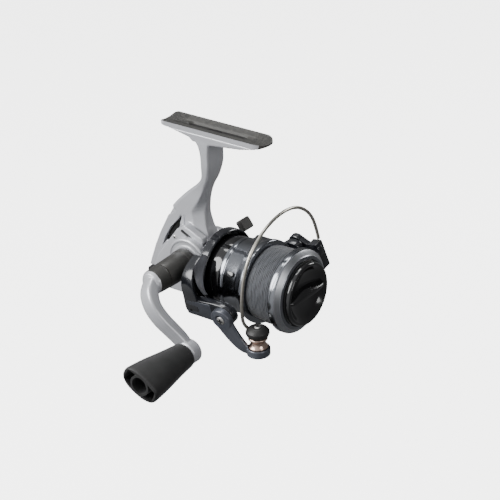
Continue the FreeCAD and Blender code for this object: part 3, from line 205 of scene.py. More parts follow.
def piece(name, bm, place, body, stands_for=(), angle=35):
    """Place a shape, scale it to metres and let it ride on its body."""
    bmesh.ops.transform(bm, matrix=METRES @ place, verts=bm.verts)
    mesh = bpy.data.meshes.new(name)
    bm.to_mesh(mesh)
    bm.free()
    shaded(mesh, angle)
    thing = bpy.data.objects.new(name, mesh)
    bpy.context.scene.collection.objects.link(thing)
    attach(thing, body)
    if stands_for:
        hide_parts(*stands_for)
    pieces[name] = thing
    print("%-18s %6d faces on %s" % (name, len(mesh.polygons), body))
    return thing


def cast(thing, voxel, smooth_steps):
    """Melt a piece's overlapping shells into one smooth skin."""
    remesh = thing.modifiers.new("skin", "REMESH")
    remesh.mode = "VOXEL"
    remesh.voxel_size = voxel * MM
    soft = thing.modifiers.new("soft", "SMOOTH")
    soft.factor = 0.5
    soft.iterations = smooth_steps
    ready = thing.evaluated_get(bpy.context.evaluated_depsgraph_get())
    mesh = bpy.data.meshes.new_from_object(ready)
    thing.modifiers.clear()
    old = thing.data
    thing.data = mesh
    bpy.data.meshes.remove(old)
    mesh.name = thing.name
    mesh.shade_smooth()
    print("%-18s %6d faces as cast" % (thing.name, len(mesh.polygons)))


def carved(thing, tools):
    """Cut tool shapes out of a piece and leave the plain result."""
    for tool in tools:
        cutter = bpy.data.objects.new("cutter", bpy.data.meshes.new("cutter"))
        tool.to_mesh(cutter.data)
        tool.free()
        bpy.context.scene.collection.objects.link(cutter)
        cut = thing.modifiers.new("cut", "BOOLEAN")
        cut.object = cutter
        cut.operation = "DIFFERENCE"
        cut.solver = "EXACT"
        ready = thing.evaluated_get(bpy.context.evaluated_depsgraph_get())
        mesh = bpy.data.meshes.new_from_object(ready)
        thing.modifiers.clear()
        old, thing.data = thing.data, mesh
        bpy.data.meshes.remove(old)
        mesh.name = thing.name
        shaded(mesh, 40)
        bpy.data.objects.remove(cutter)


def solid_copy(node):
    """A merged copy of a frame solid, in millimetres of the row frame."""
    bm = bmesh.new()
    bm.from_mesh(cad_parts[node].data)
    bmesh.ops.transform(bm, matrix=Matrix.Scale(1 / MM, 4), verts=bm.verts)
    bmesh.ops.remove_doubles(bm, verts=bm.verts, dist=0.002)
    return bm


# %% [markdown]
# ## Building a finish
# A finish is a small graph of nodes. One function adds a node with its settings and links, one
# turns a hex colour to linear light, and one starts a material with a Principled shader.

# %% Helpers for finishes
def light(code, alpha=1.0):
    """An sRGB hex colour as linear red, green, blue and alpha."""
    shares = [int(code[place:place + 2], 16) / 255 for place in (1, 3, 5)]
    linear = [share / 12.92 if share <= 0.04045 else ((share + 0.055) / 1.055) ** 2.4 for share in shares]
    return (*linear, alpha)


def add(tree, kind, sockets=None, **settings):
    """Add a node; a socket's value may be a number, a colour or another node's output."""
    node = tree.nodes.new(kind)
    for setting, value in settings.items():
        setattr(node, setting, value)
    for socket, value in (sockets or {}).items():
        if isinstance(value, bpy.types.NodeSocket):
            tree.links.new(value, node.inputs[socket])
        else:
            node.inputs[socket].default_value = value
    return node


def finish_of(name, **sockets):
    """A material whose Principled shader has these constant sockets."""
    material = bpy.data.materials.new(name)
    material.use_nodes = True
    tree = material.node_tree
    tree.nodes.clear()
    shader = add(tree, "ShaderNodeBsdfPrincipled", {key.replace("_", " "): value for key, value in sockets.items()})
    add(tree, "ShaderNodeOutputMaterial", {"Surface": shader.outputs[0]})
    place = add(tree, "ShaderNodeTexCoord").outputs["Object"]
    return material, tree, shader, place


def noise_of(tree, place, size_mm, detail):
    """Noise whose grains are about a size across."""
    sockets = {"Vector": place, "Scale": 1 / (size_mm * MM), "Detail": detail}
    return add(tree, "ShaderNodeTexNoise", sockets).outputs[0]


def maths(tree, operation, *values):
    """The result of a Math node with these inputs."""
    return add(tree, "ShaderNodeMath", dict(enumerate(values)), operation=operation).outputs[0]


def bumped(tree, shader, height, depth_mm, strength=1.0):
    bump = add(tree, "ShaderNodeBump", {"Height": height, "Distance": depth_mm * MM, "Strength": strength})
    tree.links.new(bump.outputs[0], shader.inputs["Normal"])


def mottled(tree, shader, place, first, second, size_mm, low=0.35, high=0.65, detail=3):
    """Let the colour drift between two shades in soft patches."""
    ramp = add(tree, "ShaderNodeValToRGB", {"Fac": noise_of(tree, place, size_mm, detail)})
    for stop, (spot, shade) in zip(ramp.color_ramp.elements, ((low, first), (high, second))):
        stop.position = spot
        stop.color = light(shade)
    tree.links.new(ramp.outputs[0], shader.inputs["Base Color"])


def roughened(tree, shader, place, size_mm, low, high):
    """Let the gloss vary a little, as handling and moulding leave it."""
    noise = noise_of(tree, place, size_mm, 4)
    reach = add(tree, "ShaderNodeMapRange", {"Value": noise, "To Min": low, "To Max": high})
    tree.links.new(reach.outputs[0], shader.inputs["Roughness"])


# %% [markdown]
# ## Painted casting
# The body, the side plate and the handle's arm are castings under a silver-grey metallic paint.
# Tiny flakes in the paint make it sparkle a little and a clear coat gives a soft second highlight.
# Real flakes are about 0.03 mm; drawn at 0.12 mm they still show as a faint shimmer.

# %% Silver paint and its darker relatives
def flake_paint(name, first, second, metallic, low, high, coat):
    material, tree, shader, place = finish_of(name, Metallic=metallic, Coat_Weight=coat, Coat_Roughness=0.12)
    mottled(tree, shader, place, first, second, 0.12)
    roughened(tree, shader, place, 3.0, low, high)
    bumped(tree, shader, noise_of(tree, place, 0.5, 2), 0.01, 0.5)
    return material


silver_paint = flake_paint("silver_flake_paint_on_die_casting", "#B6B7BB", "#C6C7CB", 0.45, 0.30, 0.40, 0.25)
# silver-grey on the black rotor: a painted highlight on its edges
rotor_painted_highlight = flake_paint("silver_grey_painted_highlight_on_rotor_edge", "#8C8E95", "#A0A2A8", 0.55, 0.26, 0.36, 0.35)
grey_paint = flake_paint("slate_grey_paint_on_bail_casting", "#4C4F57", "#5B5E66", 0.55, 0.26, 0.36, 0.35)
# the rotor's own gloss black; on the bail arm's inward side it is painted shade
rotor_black_and_bail_shade = flake_paint("black_gloss_rotor_paint_and_painted_bail_shade", "#141519", "#1D1F25", 0.25, 0.16, 0.24, 0.7)
collar_satin = flake_paint("charcoal_satin_paint_on_collar", "#363635", "#43423F", 0.35, 0.36, 0.46, 0.15)

# %% [markdown]
# ## Moulded plastics and rubber
# The drag knob, caps and window inlays are gloss black ABS; the roller's cap and the seat's top are
# matt. The grip is a rubber-like elastomer, whose fine spark-eroded grain scatters light at its
# edges, so it gets a little sheen.

# %% Plastics and rubber
def moulded(name, first, second, low, high, grain_mm, grain_depth, **sockets):
    material, tree, shader, place = finish_of(name, **sockets)
    mottled(tree, shader, place, first, second, 6.0)
    roughened(tree, shader, place, 4.0, low, high)
    bumped(tree, shader, noise_of(tree, place, grain_mm, 4), grain_depth, 0.6)
    return material


gloss_black = moulded("gloss_black_moulded_abs", "#0B0B0C", "#121213", 0.08, 0.14, 1.6, 0.006,
                      IOR=1.52, Coat_Weight=0.6, Coat_Roughness=0.05)
matt_black = moulded("matt_black_moulded_nylon", "#151515", "#1F1E1D", 0.42, 0.55, 0.3, 0.02, IOR=1.5)
cover_grey = moulded("dark_grey_moulded_cover", "#3B3E45", "#464950", 0.26, 0.36, 0.5, 0.012,
                     IOR=1.5, Metallic=0.3, Coat_Weight=0.3, Coat_Roughness=0.12)
grip_rubber = moulded("black_grained_elastomer_grip", "#0E0E0E", "#171717", 0.50, 0.62, 0.35, 0.03,
                      IOR=1.5, Sheen_Weight=0.25, Sheen_Roughness=0.4)
# near black: the spine's window inlays, and painted shade standing in for screw recesses and small holes
black_inlay_and_hole_shade = moulded("black_inlays_and_painted_hole_shade", "#050505", "#080808", 0.6, 0.7, 1.0, 0.01, IOR=1.4)
white_nylon = moulded("natural_white_nylon", "#C9C6BC", "#D6D3CA", 0.35, 0.5, 0.8, 0.01, IOR=1.52)
print("plastics done")

# %% [markdown]
# ## Seat top
# The rod lies on the seat's top, so that face is left matt charcoal. Both its ends carry a fine
# knurl that bites into the rod's cushion. Two crossed sets of grooves 1 mm apart make it, and they
# fade in only past 21 mm from the middle.

# %% Seat top finish
def seat_finish():
    material, tree, shader, place = finish_of("charcoal_seat_top_with_knurled_ends", IOR=1.48)
    mottled(tree, shader, place, "#353533", "#42413E", 2.5)
    roughened(tree, shader, place, 3.0, 0.45, 0.6)
    spread = add(tree, "ShaderNodeSeparateXYZ", {"Vector": place})
    crossed = []
    for operation in ("ADD", "SUBTRACT"):
        slant = maths(tree, operation, spread.outputs[0], spread.outputs[1])
        turns = maths(tree, "MULTIPLY", slant, 2 * math.pi / (1.0 * MM))
        crossed.append(maths(tree, "SINE", turns))
    knurl = maths(tree, "MAXIMUM", *crossed)
    distance = maths(tree, "ABSOLUTE", spread.outputs[0])
    near_end = add(tree, "ShaderNodeMapRange", {"Value": distance, "From Min": 0.020, "From Max": 0.022})
    bumped(tree, shader, maths(tree, "MULTIPLY", knurl, near_end.outputs[0]), 0.12)
    return material


seat_charcoal = seat_finish()

# %% [markdown]
# ## Turned and ground metals
# Turned aluminium keeps faint rings from the tool, so its bump runs in bands along the spool's axis.
# Real tool marks are about 0.05 mm apart; 0.3 mm still reads as turning at this size. Wire and
# shafts are drawn or ground and get a finer, random grain.

# %% Metals
def turned_metal(name, shade, low, high, pitch_mm, depth_mm, **sockets):
    material, tree, shader, place = finish_of(name, Metallic=1.0, **sockets)
    mottled(tree, shader, place, shade[0], shade[1], 5.0)
    roughened(tree, shader, place, 2.0, low, high)
    # a band of the wave texture repeats every 0.314 units at a scale of one
    rings = add(tree, "ShaderNodeTexWave", {"Vector": place, "Scale": 0.314 / (pitch_mm * MM), "Distortion": 0.4},
                wave_type="BANDS", bands_direction="X")
    bumped(tree, shader, rings.outputs[1], depth_mm, 0.5)
    return material


def ground_metal(name, shade, low, high, grain_mm, **sockets):
    material, tree, shader, place = finish_of(name, Metallic=1.0, **sockets)
    mottled(tree, shader, place, shade[0], shade[1], 2.0)
    roughened(tree, shader, place, 1.5, low, high)
    bumped(tree, shader, noise_of(tree, place, grain_mm, 3), 0.004, 0.5)
    return material


spool_mirror = turned_metal("gunmetal_anodised_polished_aluminium", ("#85888D", "#8E9095"), 0.13, 0.19, 0.3, 0.0012)
flange_satin = turned_metal("satin_turned_aluminium_lip", ("#A4A6AA", "#AEB0B4"), 0.34, 0.42, 0.3, 0.004)
nickel = ground_metal("nickel_plated_spring_wire", ("#BDB9AF", "#CAC6BC"), 0.26, 0.34, 0.3)
bronze = turned_metal("polished_bronze_toned_roller", ("#CDB2A4", "#D9BFB1"), 0.20, 0.28, 0.3, 0.002)
steel = ground_metal("ground_stainless_steel", ("#C9C8C5", "#D4D3D0"), 0.30, 0.40, 0.3)
brass = ground_metal("machined_brass", ("#B08A47", "#BF9A55"), 0.22, 0.32, 0.4)
gear_alloy = ground_metal("die_cast_zinc_gear_alloy", ("#9B9CA0", "#A9AAAE"), 0.32, 0.42, 0.5)
felt = moulded("oiled_felt_washer", "#4A4238", "#5A5145", 0.8, 0.9, 0.2, 0.08, IOR=1.4, Sheen_Weight=0.3)

# %% [markdown]
# ## Braided line
# Braid is laid on the spool in a steep criss-cross of nearly round turns. The angle about the
# spool's axis and the distance along it drive two sets of helical grooves that lean opposite ways.
# Real braid is about 0.3 mm thick. The turns are drawn 0.8 and 0.95 mm apart, with a slow swell every
# 2.3 mm, so that they still show at this size.

# %% Braided line finish
def braid_finish():
    material, tree, shader, place = finish_of("dark_grey_braided_line", IOR=1.5, Sheen_Weight=0.2)
    centred = add(tree, "ShaderNodeMapping", {"Vector": place, "Location": (0, 0, 77 * MM)})
    spread = add(tree, "ShaderNodeSeparateXYZ", {"Vector": centred.outputs[0]})
    angle = maths(tree, "ARCTAN2", spread.outputs[1], spread.outputs[2])
    strands = []
    for pitch_mm, starts in ((0.95, 6), (0.80, -7), (2.3, 2)):
        across = maths(tree, "MULTIPLY", spread.outputs[0], 2 * math.pi / (pitch_mm * MM))
        strands.append(maths(tree, "SINE", maths(tree, "MULTIPLY_ADD", angle, float(starts), across)))
    woven = maths(tree, "MAXIMUM", strands[0], strands[1])
    relief = maths(tree, "MULTIPLY_ADD", strands[2], 0.3, woven)
    # colour follows the relief: darker in the grooves between turns and lighter on the ridges, painted shade and
    # highlight, with random tone from noise on top
    groove_shade_and_tone = maths(tree, "MULTIPLY_ADD", noise_of(tree, place, 1.2, 4), 1.2, relief)
    ranged = add(tree, "ShaderNodeMapRange", {"Value": groove_shade_and_tone, "From Min": -0.6, "From Max": 2.0})
    ramp = add(tree, "ShaderNodeValToRGB", {"Fac": ranged.outputs[0]})
    ramp.color_ramp.elements[0].color = light("#17181B")
    ramp.color_ramp.elements[1].color = light("#5A5D63")
    tree.links.new(ramp.outputs[0], shader.inputs["Base Color"])
    roughened(tree, shader, place, 1.0, 0.40, 0.60)
    bumped(tree, shader, relief, 0.22)
    return material


braided_line = braid_finish()


def coat_all(thing, material):
    thing.data.materials.clear()
    thing.data.materials.append(material)


def coat_some(thing, material, chosen):
    """Give a second finish to the faces a test picks by centre and normal, in millimetres."""
    thing.data.materials.append(material)
    last = len(thing.data.materials) - 1
    for face in thing.data.polygons:
        if chosen(face.center / MM, face.normal):
            face.material_index = last


# %% [markdown]
# ## Body casting
# Seat, stem and gear case are one casting. The frame's solid already has the right outline, so a
# merged copy of it is split 2.5 mm below the seat's edges. Planes cut the oval stem away, and a row
# of bridged sections with a flat front and a facet at the side takes its place. All of that is
# melted into one smooth skin. The slice above the split is the seat's top, with its edges crisp.

# %% Body casting
def cut_off(bm, point, away):
    """Drop what lies beyond a plane and close the shape again."""
    cut = bmesh.ops.bisect_plane(bm, geom=bm.verts[:] + bm.edges[:] + bm.faces[:], plane_co=point, plane_no=away,
                                 clear_outer=True)
    rim = [item for item in cut["geom_cut"] if isinstance(item, bmesh.types.BMEdge)]
    bmesh.ops.holes_fill(bm, edges=rim, sides=0)
    bmesh.ops.recalc_face_normals(bm, faces=bm.faces)
    return bm


def cut_copy(*planes):
    bm = solid_copy("body_frame")
    for point, away in planes:
        cut_off(bm, point, away)
    return bm


UP, DOWN, AHEAD, ASTERN, NEAR, FAR = (Vector(way) for way in (
    (0, 0, 1), (0, 0, -1), (1, 0, 0), (-1, 0, 0), (0, -1, 0), (0, 1, 0)))
SEAT_SPLIT = Vector((0, 0, -2.5))
seat_foot = cut_copy((SEAT_SPLIT, UP), (Vector((0, 0, -7.0)), DOWN))
shoulder = Vector((-21.6, 0, -60.2))
lower_case = cut_copy((shoulder, UP))
spine_ends = ((shoulder, DOWN), (Vector((0, 0, -47.5)), UP))
spine_top = cut_copy(*spine_ends, (shoulder, AHEAD))
case_sides = [cut_copy(*spine_ends, (shoulder, ASTERN), (Vector((0, side * 5.8, 0)), way))
              for side, way in ((-1, FAR), (1, NEAR))]

# each section: height, back, half width, where the side's facet starts, front, where the facet
# ends across, and where the front's far corner starts
NECK = [
    (72.5, -16.5, 6.6, -3.4, -2.8, -6.1, 6.0),
    (70.4, -12.8, 6.8, -3.8, -3.2, -6.3, 6.0),
    (67.5, -10.9, 6.9, -4.3, -3.7, -6.3, 6.0),
    (63.0, -10.0, 6.9, -4.6, -4.0, -6.2, 5.9),
    (57.0, -10.0, 6.8, -4.9, -4.3, -6.1, 5.7),
    (50.0, -11.0, 5.9, -6.9, -6.2, -5.1, 4.6),
    (45.5, -14.6, 5.2, -9.3, -8.4, -4.4, 3.6),
    (41.3, -19.6, 4.9, -11.0, -10.0, -3.2, 3.0),
    (35.8, -25.6, 5.0, -14.0, -11.6, -0.4, 3.0),
    (31.0, -30.2, 5.0, -17.4, -12.3, -0.9, 3.0),
    (28.8, -31.0, 5.0, -18.0, -12.4, -1.4, 3.0),
    (26.5, -24.0, 5.05, -17.6, -12.2, -1.9, 3.0),
    (21.0, -23.6, 5.4, -16.0, -11.0, -3.0, 3.6),
    (16.0, -22.0, 5.6, -12.0, -8.6, -4.0, 4.2),
]


def neck_section(height, back, half, facet, front, turn, far):
    corners = [(back, -half + 1.6), (back + 1.4, -half), (facet, -half), (front, turn),
               (front + 0.25, 0.5 * (turn + far)), (front, far), (front - 1.3, half), (back + 1.4, half),
               (back, half - 1.6)]
    return [(x, y, height) for x, y in corners]


neck = moved(skinned([neck_section(*row) for row in flowing(NECK, 4)]), BODY)
casting = joined(seat_foot, lower_case, spine_top, *case_sides, neck)
body = piece("reel_body", casting, Matrix(), "frame", ["body_frame"])
cast(body, 0.4, 4)
WINDOW = [(-27.6, 23.0), (-28.7, 17.4), (-39.2, 5.4), (-36.4, 11.6), (-33.0, 17.2)]
carved(body, [moved(plate(WINDOW, low, high, 0.3), METRES @ BODY) for low, high in ((-9, -2.7), (2.7, 9))])
coat_all(body, silver_paint)
coat_some(body, black_inlay_and_hole_shade, lambda centre, normal: abs(abs(centre.y) - 2.7) < 0.02 and centre.x < -20)
seat = piece("seat_top", cut_copy((SEAT_SPLIT, DOWN)), Matrix(), "frame", angle=30)
coat_all(seat, silver_paint)
coat_some(seat, seat_charcoal, lambda centre, normal: (
    normal.z > 0.3 or (centre.x > 28.6 and normal.z > -0.3) or (abs(centre.x) < 18.2 and abs(centre.y) < 2.1)))

# %% [markdown]
# The slot in the seat gets a matt black floor with a short, darker plate in it: painted shade where the hole through
# the seat is.

# %% Seat slot floor and its painted hole shade
LYING = Matrix.Rotation(math.radians(-90), 4, "X")          # lays a plate's thickness upright
slot_floor = plate([(-17.8, -1.85), (17.8, -1.85), (17.8, 1.85), (-17.8, 1.85)], 2.1, 2.35, 1.8)
coat_all(piece("seat_slot_floor", moved(slot_floor, LYING), Matrix(), "frame"), matt_black)
# a thin black plate of painted shade stands for the dark hole in the slot's floor
slot_hole_shade = plate([(-6.8, -1.2), (1.6, -1.2), (1.6, 1.2), (-6.8, 1.2)], 2.02, 2.3, 0.5)
coat_all(piece("seat_slot_window", moved(slot_hole_shade, LYING), Matrix(), "frame"), black_inlay_and_hole_shade)

# %% [markdown]
# ## Side plate
# The near plate closes the gear case and carries a stepped round boss for the gear's bearing. It is
# a bevelled plate with a turned boss on it; a narrow dark groove follows its upper front edge,
# where the real plate meets the casting.

# %% Side plate
CASE_OUTLINE = [(-7.6, -14.8), (-7.6, 14.6), (-9.2, 18.9), (-19.6, 23.4), (-24.5, 20.2), (-38.0, 2.6),
                (-40.8, -3.4), (-40.0, -12.0), (-33.8, -14.9)]
boss_profile = [(-1.0, 3.1), (3.7, 3.1), (3.7, 8.2), (3.25, 8.4), (3.25, 10.2), (3.6, 10.4), (3.6, 11.2),
                (3.1, 11.8), (-1.0, 11.8)]
OUT_OF_PLATE = GEAR @ Matrix.Translation((0, -10.0, 0)) @ Matrix.Rotation(math.radians(-90), 4, "Z")
side = joined(moved(soften(plate(CASE_OUTLINE, PLATE_FACE, -8.4, 2.6), 0.55), BODY),
              moved(soften(turned(boss_profile, closed=True), 0.22, 2), OUT_OF_PLATE))
coat_all(piece("gear_side_plate", side, Matrix(), "frame", ["side_cover"]), silver_paint)

GROOVE = [(-8.3, 14.8), (-21.0, 21.6), (-21.9, 20.2), (-8.8, 13.2)]
coat_all(piece("plate_groove", moved(soften(plate(GROOVE, -10.12, -9.7, 0.4), 0.08, 2), BODY), Matrix(), "frame"), gloss_black)

# %% [markdown]
# ## Screws
# Every visible screw is a low domed head with a cross recess. The head is turned, and the recess is
# a black cross let into it, painted shade standing for the recess, because at this size its walls can't be seen.

# %% Screws
def screw_head(radius, tall, dome=0.25):
    """A head whose flat side is at zero on the X axis and whose top points to +X."""
    top = [(0, 0), (0, radius), (tall * 0.6, radius), (tall, radius * 0.8), (tall + dome * 0.6, radius * 0.4),
           (tall + dome * 0.6, 0)]
    return soften(turned(top, steps=32), 0.06, 2)


def cross_recess(radius, at):
    arm, thick = radius * 0.62, radius * 0.17
    first = plate([(-arm, -thick), (arm, -thick), (arm, thick), (-arm, thick)], at - 0.12, at + 0.03, normal="X")
    second = plate([(-thick, -arm), (thick, -arm), (thick, arm), (-thick, arm)], at - 0.12, at + 0.03, normal="X")
    return joined(first, second)


def screw(name, places, radius, tall, body_name, node, dome=0.25):
    """One object for the heads and one for the black crosses of painted shade in their recesses."""
    heads = joined(*[moved(screw_head(radius, tall, dome), place) for place in places])
    # the crosses are black: painted shade standing in for the recesses
    marks = joined(*[moved(cross_recess(radius, tall + dome * 0.6), place) for place in places])
    coat_all(piece(name, heads, Matrix(), body_name, [node]), steel)
    coat_all(piece(name + "_cross", marks, Matrix(), body_name), black_inlay_and_hole_shade)


COVER_SCREWS = [(-8.9, -13.4), (-36.35, -12.7), (-25.9, 15.9)]
NEARWARD = Matrix.Rotation(math.radians(-90), 4, "Z")
screw("plate_screws", [BODY @ Matrix.Translation((x, PLATE_FACE, z)) @ NEARWARD for x, z in COVER_SCREWS],
      1.0, 0.4, "frame", "cover_screws")
screw("tail_cap_screw", [BODY @ Matrix.Translation((-49.6, 0, -11.4)) @ Matrix.Rotation(math.pi, 4, "Z")],
      1.75, 0.5, "frame", "tail_screw")

# %% [markdown]
# ## Small black parts of the body
# The tail cap and the cap over the handle's bolt are gloss black mouldings; the window inlays fill
# the long triangular recesses of the spine.

# %% Tail cap, bolt cap and inlays
TAIL = [(-49.7, -10.1), (-47.6, -8.0), (-42.1, -8.0), (-42.1, -14.9), (-47.8, -14.9)]
coat_all(piece("tail_cap_moulding", soften(plate(TAIL, -5.7, 5.7, 1.6), 0.9), BODY, "frame", ["tail_cap"]), gloss_black)
cap_profile = [(0, 0), (0.2, 4.6), (1.2, 6.6), (3.0, 7.0), (3.0, 0)]
cap_place = CRANK @ Matrix.Translation((0, -16.6, 0)) @ OUTWARD
coat_all(piece("bolt_end_cap", soften(turned(cap_profile), 0.35), cap_place, "handle_drive", ["bolt_cap"]), gloss_black)
coat_all(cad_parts["window_inlays"], black_inlay_and_hole_shade)

# %% [markdown]
# ## Handle
# A tapered collar screws into the drive gear. The arm hinges on it, bows outward and ends in a
# round boss. The arm is swept as squarish rings along its bow, then melted together with the
# barrel and the boss; the barrel keeps the collar's charcoal.

# %% Collar
collar_profile = [(14.1, 0), (14.1, 7.1), (14.5, 7.4), (18.0, 7.35), (18.3, 7.05), (18.9, 7.05), (33.3, 6.7), (33.3, 0)]
tongue = plate([(-3.2, 31.0), (3.2, 31.0), (3.2, 37.9), (-3.2, 37.9)], -1.9, 1.9, 1.2)
# KNOWN FAULT, left as it is: the mirror sends a plate's Z to -Y, so the tongue floats on the far side
# and the arm's two cutters below miss it. They belong at +Y, on the handle's side.
UPENDED = Matrix.Rotation(math.radians(-90), 4, "X") @ Matrix.Scale(-1, 4, (0, 0, 1))
moved(tongue, UPENDED)
bmesh.ops.recalc_face_normals(tongue, faces=tongue.faces)
collar = joined(moved(soften(turned(collar_profile), 0.2, 2), OUTWARD), tongue)
coat_all(piece("handle_socket", collar, CRANK, "handle_drive", ["handle_collar"]), collar_satin)

# %% Barrel, arm and boss
barrel_profile = [(33.5, 0), (33.5, 6.5), (33.8, 6.7), (40.4, 6.3), (42.0, 5.2), (42.6, 3.6), (42.6, 0)]
# each station: along the crank, outward, half width, half thickness, squareness
BOW = [
    (0.2, 38.2, 4.6, 4.2, 3.0),
    (1.2, 42.2, 4.5, 3.9, 3.6),
    (4.6, 46.3, 4.3, 3.5, 4.4),
    (10.5, 48.4, 4.2, 3.2, 4.8),
    (17.5, 47.8, 4.2, 3.1, 4.8),
    (24.5, 45.6, 4.1, 3.0, 4.6),
    (31.0, 43.6, 4.0, 2.9, 4.0),
    (37.6, 42.9, 4.0, 2.5, 3.0),
]


def bow_skin():
    rows = flowing(BOW, 6)
    rings = []
    for index, (forward, out, wide, thick, squareness) in enumerate(rows):
        before, after = rows[max(index - 1, 0)], rows[min(index + 1, len(rows) - 1)]
        way = Vector((after[0] - before[0], after[1] - before[1], 0)).normalized()
        rings.append((Vector((forward, out, 0)), Vector((0, 0, wide)), Vector((-way.y, way.x, 0)) * thick, squareness))
    return lofted(rings)


boss_end = [(40.1, 0), (40.1, 5.5), (40.7, 6.1), (45.9, 6.1), (46.5, 5.6), (46.5, 0)]
arm = joined(moved(turned(barrel_profile), OUTWARD), bow_skin(),
             moved(turned(boss_end), Matrix.Translation((CRANK_LENGTH, 0, 0)) @ OUTWARD))
handle = piece("handle_bow", arm, CRANK, "crank", ["handle_arm"])
cast(handle, 0.3, 2)
# meant as the fork's slot and the fold's relief; both miss the arm, as said at UPENDED
fork_slot = moved(plate([(-8.0, 32.5), (8.0, 32.5), (8.0, 39.2), (-8.0, 39.2)], -2.15, 2.15), UPENDED)
relief = moved(plate([(0.2, 32.5), (8.0, 32.5), (8.0, 37.1), (0.2, 33.4)], -8.0, 8.0), UPENDED)
carved(handle, [moved(tool, METRES @ CRANK) for tool in (fork_slot, relief)])
coat_all(handle, silver_paint)
crank_back = CRANK.inverted()
coat_some(handle, collar_satin, lambda centre, normal: (crank_back @ centre).y < 40.6 and (crank_back @ centre).x < 8)

# %% [markdown]
# ## Grip
# The grip is a flared paddle of elastomer over a bush. Rings that turn from nearly round to a wide
# oval make its skin. Its outer end is cut open: a round hole for the screw and two pockets beside
# it, which leave thin walls.

# %% Grip
# each station: outward, half wide, half thick, squareness
GRIP = [
    (46.95, 6.2, 5.4, 2.1),
    (47.6, 6.7, 5.8, 2.2),
    (52.0, 7.2, 6.0, 2.3),
    (60.0, 8.3, 6.2, 2.4),
    (69.0, 9.7, 6.4, 2.5),
    (77.5, 10.7, 6.5, 2.5),
    (80.4, 10.8, 6.4, 2.5),
    (81.4, 10.2, 5.9, 2.4),
]
KNOB_TURN = math.radians(26)
flat_way = Vector((math.cos(KNOB_TURN), 0, -math.sin(KNOB_TURN)))
thin_way = Vector((math.sin(KNOB_TURN), 0, math.cos(KNOB_TURN)))


def grip_skin():
    rings = [(Vector((0, out, 0)), flat_way * wide, thin_way * thick, squareness)
             for out, wide, thick, squareness in flowing(GRIP, 5)]
    return lofted(rings, 64)


grip = piece("grip_moulding", grip_skin(), KNOB, "grip", ["knob"])
to_metres = METRES @ KNOB
hole = moved(soften(turned([(70.9, 0), (70.9, 4.4), (84, 4.4), (84, 0)], steps=64), 0.2), to_metres @ OUTWARD)
pockets = []
for side_sign in (-1, 1):
    sweep = []
    for turn in range(-52, 53, 8):
        radians = math.radians(turn)
        sweep.append((side_sign * 5.5 * math.cos(radians), 5.5 * math.sin(radians)))
    far_edge = [(side_sign * (9.3 - 0.5 * (step / 3) ** 2), step * 1.15) for step in (3, 1.5, 0, -1.5, -3)]
    bm = plate(sweep + far_edge, 74.5, 84)
    axes = Matrix((flat_way, Vector((0, 1, 0)), thin_way)).transposed().to_4x4()
    pockets.append(moved(bm, to_metres @ axes))
carved(grip, [hole] + pockets)
coat_all(grip, grip_rubber)
print("grip faces after carving:", len(grip.data.polygons))

# %% [markdown]
# ## Rotor
# The rotor is a black cup with two arms. A turned ring makes the cup. Behind each arm a wing rises
# from the cup; its front is open in a triangle, so matching corners of its outline and of the opening
# are bridged and carried on back inside. The edge next to the cup and the arm's inner top edge carry a
# silver-grey painted highlight. The arm itself is a thick bevelled plate that narrows to the bail's pivot.

# %% Rotor cup
cup_profile = [(-6.2, 15.9), (-6.2, 20.0), (-5.0, 21.0), (-0.9, 21.0), (-0.2, 20.6), (-0.2, 19.9), (-0.7, 19.6),
               (-4.9, 19.6), (-4.9, 17.0), (7.5, 17.0), (8.3, 16.2), (8.3, 2.6), (5.8, 2.6), (5.8, 15.9)]
cup = soften(turned(cup_profile, closed=True, steps=128), 0.15, 2)

# %% Rotor arms
# matching corners of the wing's front and of the opening in it: ahead, across, upright
WING = [(2.6, -19.8, -5.5), (0.6, -20.6, 4.0), (-0.4, -18.0, 11.0), (-0.4, -12.4, 17.0),
        (-0.6, -14.5, 20.2), (-0.6, -19.2, 20.1), (0.0, -24.2, 18.6), (1.2, -28.2, 15.5),
        (2.2, -30.2, 11.0), (3.2, -30.6, 5.0), (3.4, -30.6, -4.0), (3.4, -26.5, -6.0)]
OPENING = [(2.4, -21.0, -3.2), (0.2, -22.6, 2.0), (-1.6, -23.0, 7.0), (-2.2, -22.6, 11.4),
           (-2.0, -22.2, 14.4), (-1.4, -22.6, 15.9), (-0.4, -24.2, 16.0), (0.8, -26.9, 14.0),
           (1.8, -28.9, 10.6), (2.9, -29.3, 7.2), (3.1, -26.8, 2.6), (3.0, -23.6, -1.0)]
NEAR_ARM = [(-5.2, -6.3), (12.3, -6.3), (18.6, -5.4), (23.6, -4.1), (25.4, 0), (23.6, 4.1), (18.6, 6.0),
            (12.0, 5.7), (5.5, 4.8), (-5.2, 3.4)]
FAR_WING = [(26.6, -1.0), (26.6, -12.4), (22.0, -16.8), (12.0, -18.8), (10.5, -10.5), (17.5, -1.0)]
FAR_ARM = [(-5.2, -1.0), (12.3, -1.0), (15.4, 1.8), (18.6, 3.8), (23.6, 3.4), (25.4, 0), (23.6, -4.1),
           (18.6, -6.3), (8.3, -9.3), (4.35, -12.7), (-5.2, -14.4)]


def hollow_wing():
    """The near wing: its front ring slopes from the outline in to the opening and on back inside."""
    outside, inside = smooth_loop(WING), smooth_loop(OPENING)
    levels = [[(-5.2, p, t) for x, p, t in outside], [(x - 0.7, p, t) for x, p, t in outside], outside,
              inside, [(-3.6, p, t) for x, p, t in inside]]
    return soften(skinned(levels), 0.22, 2, 50)


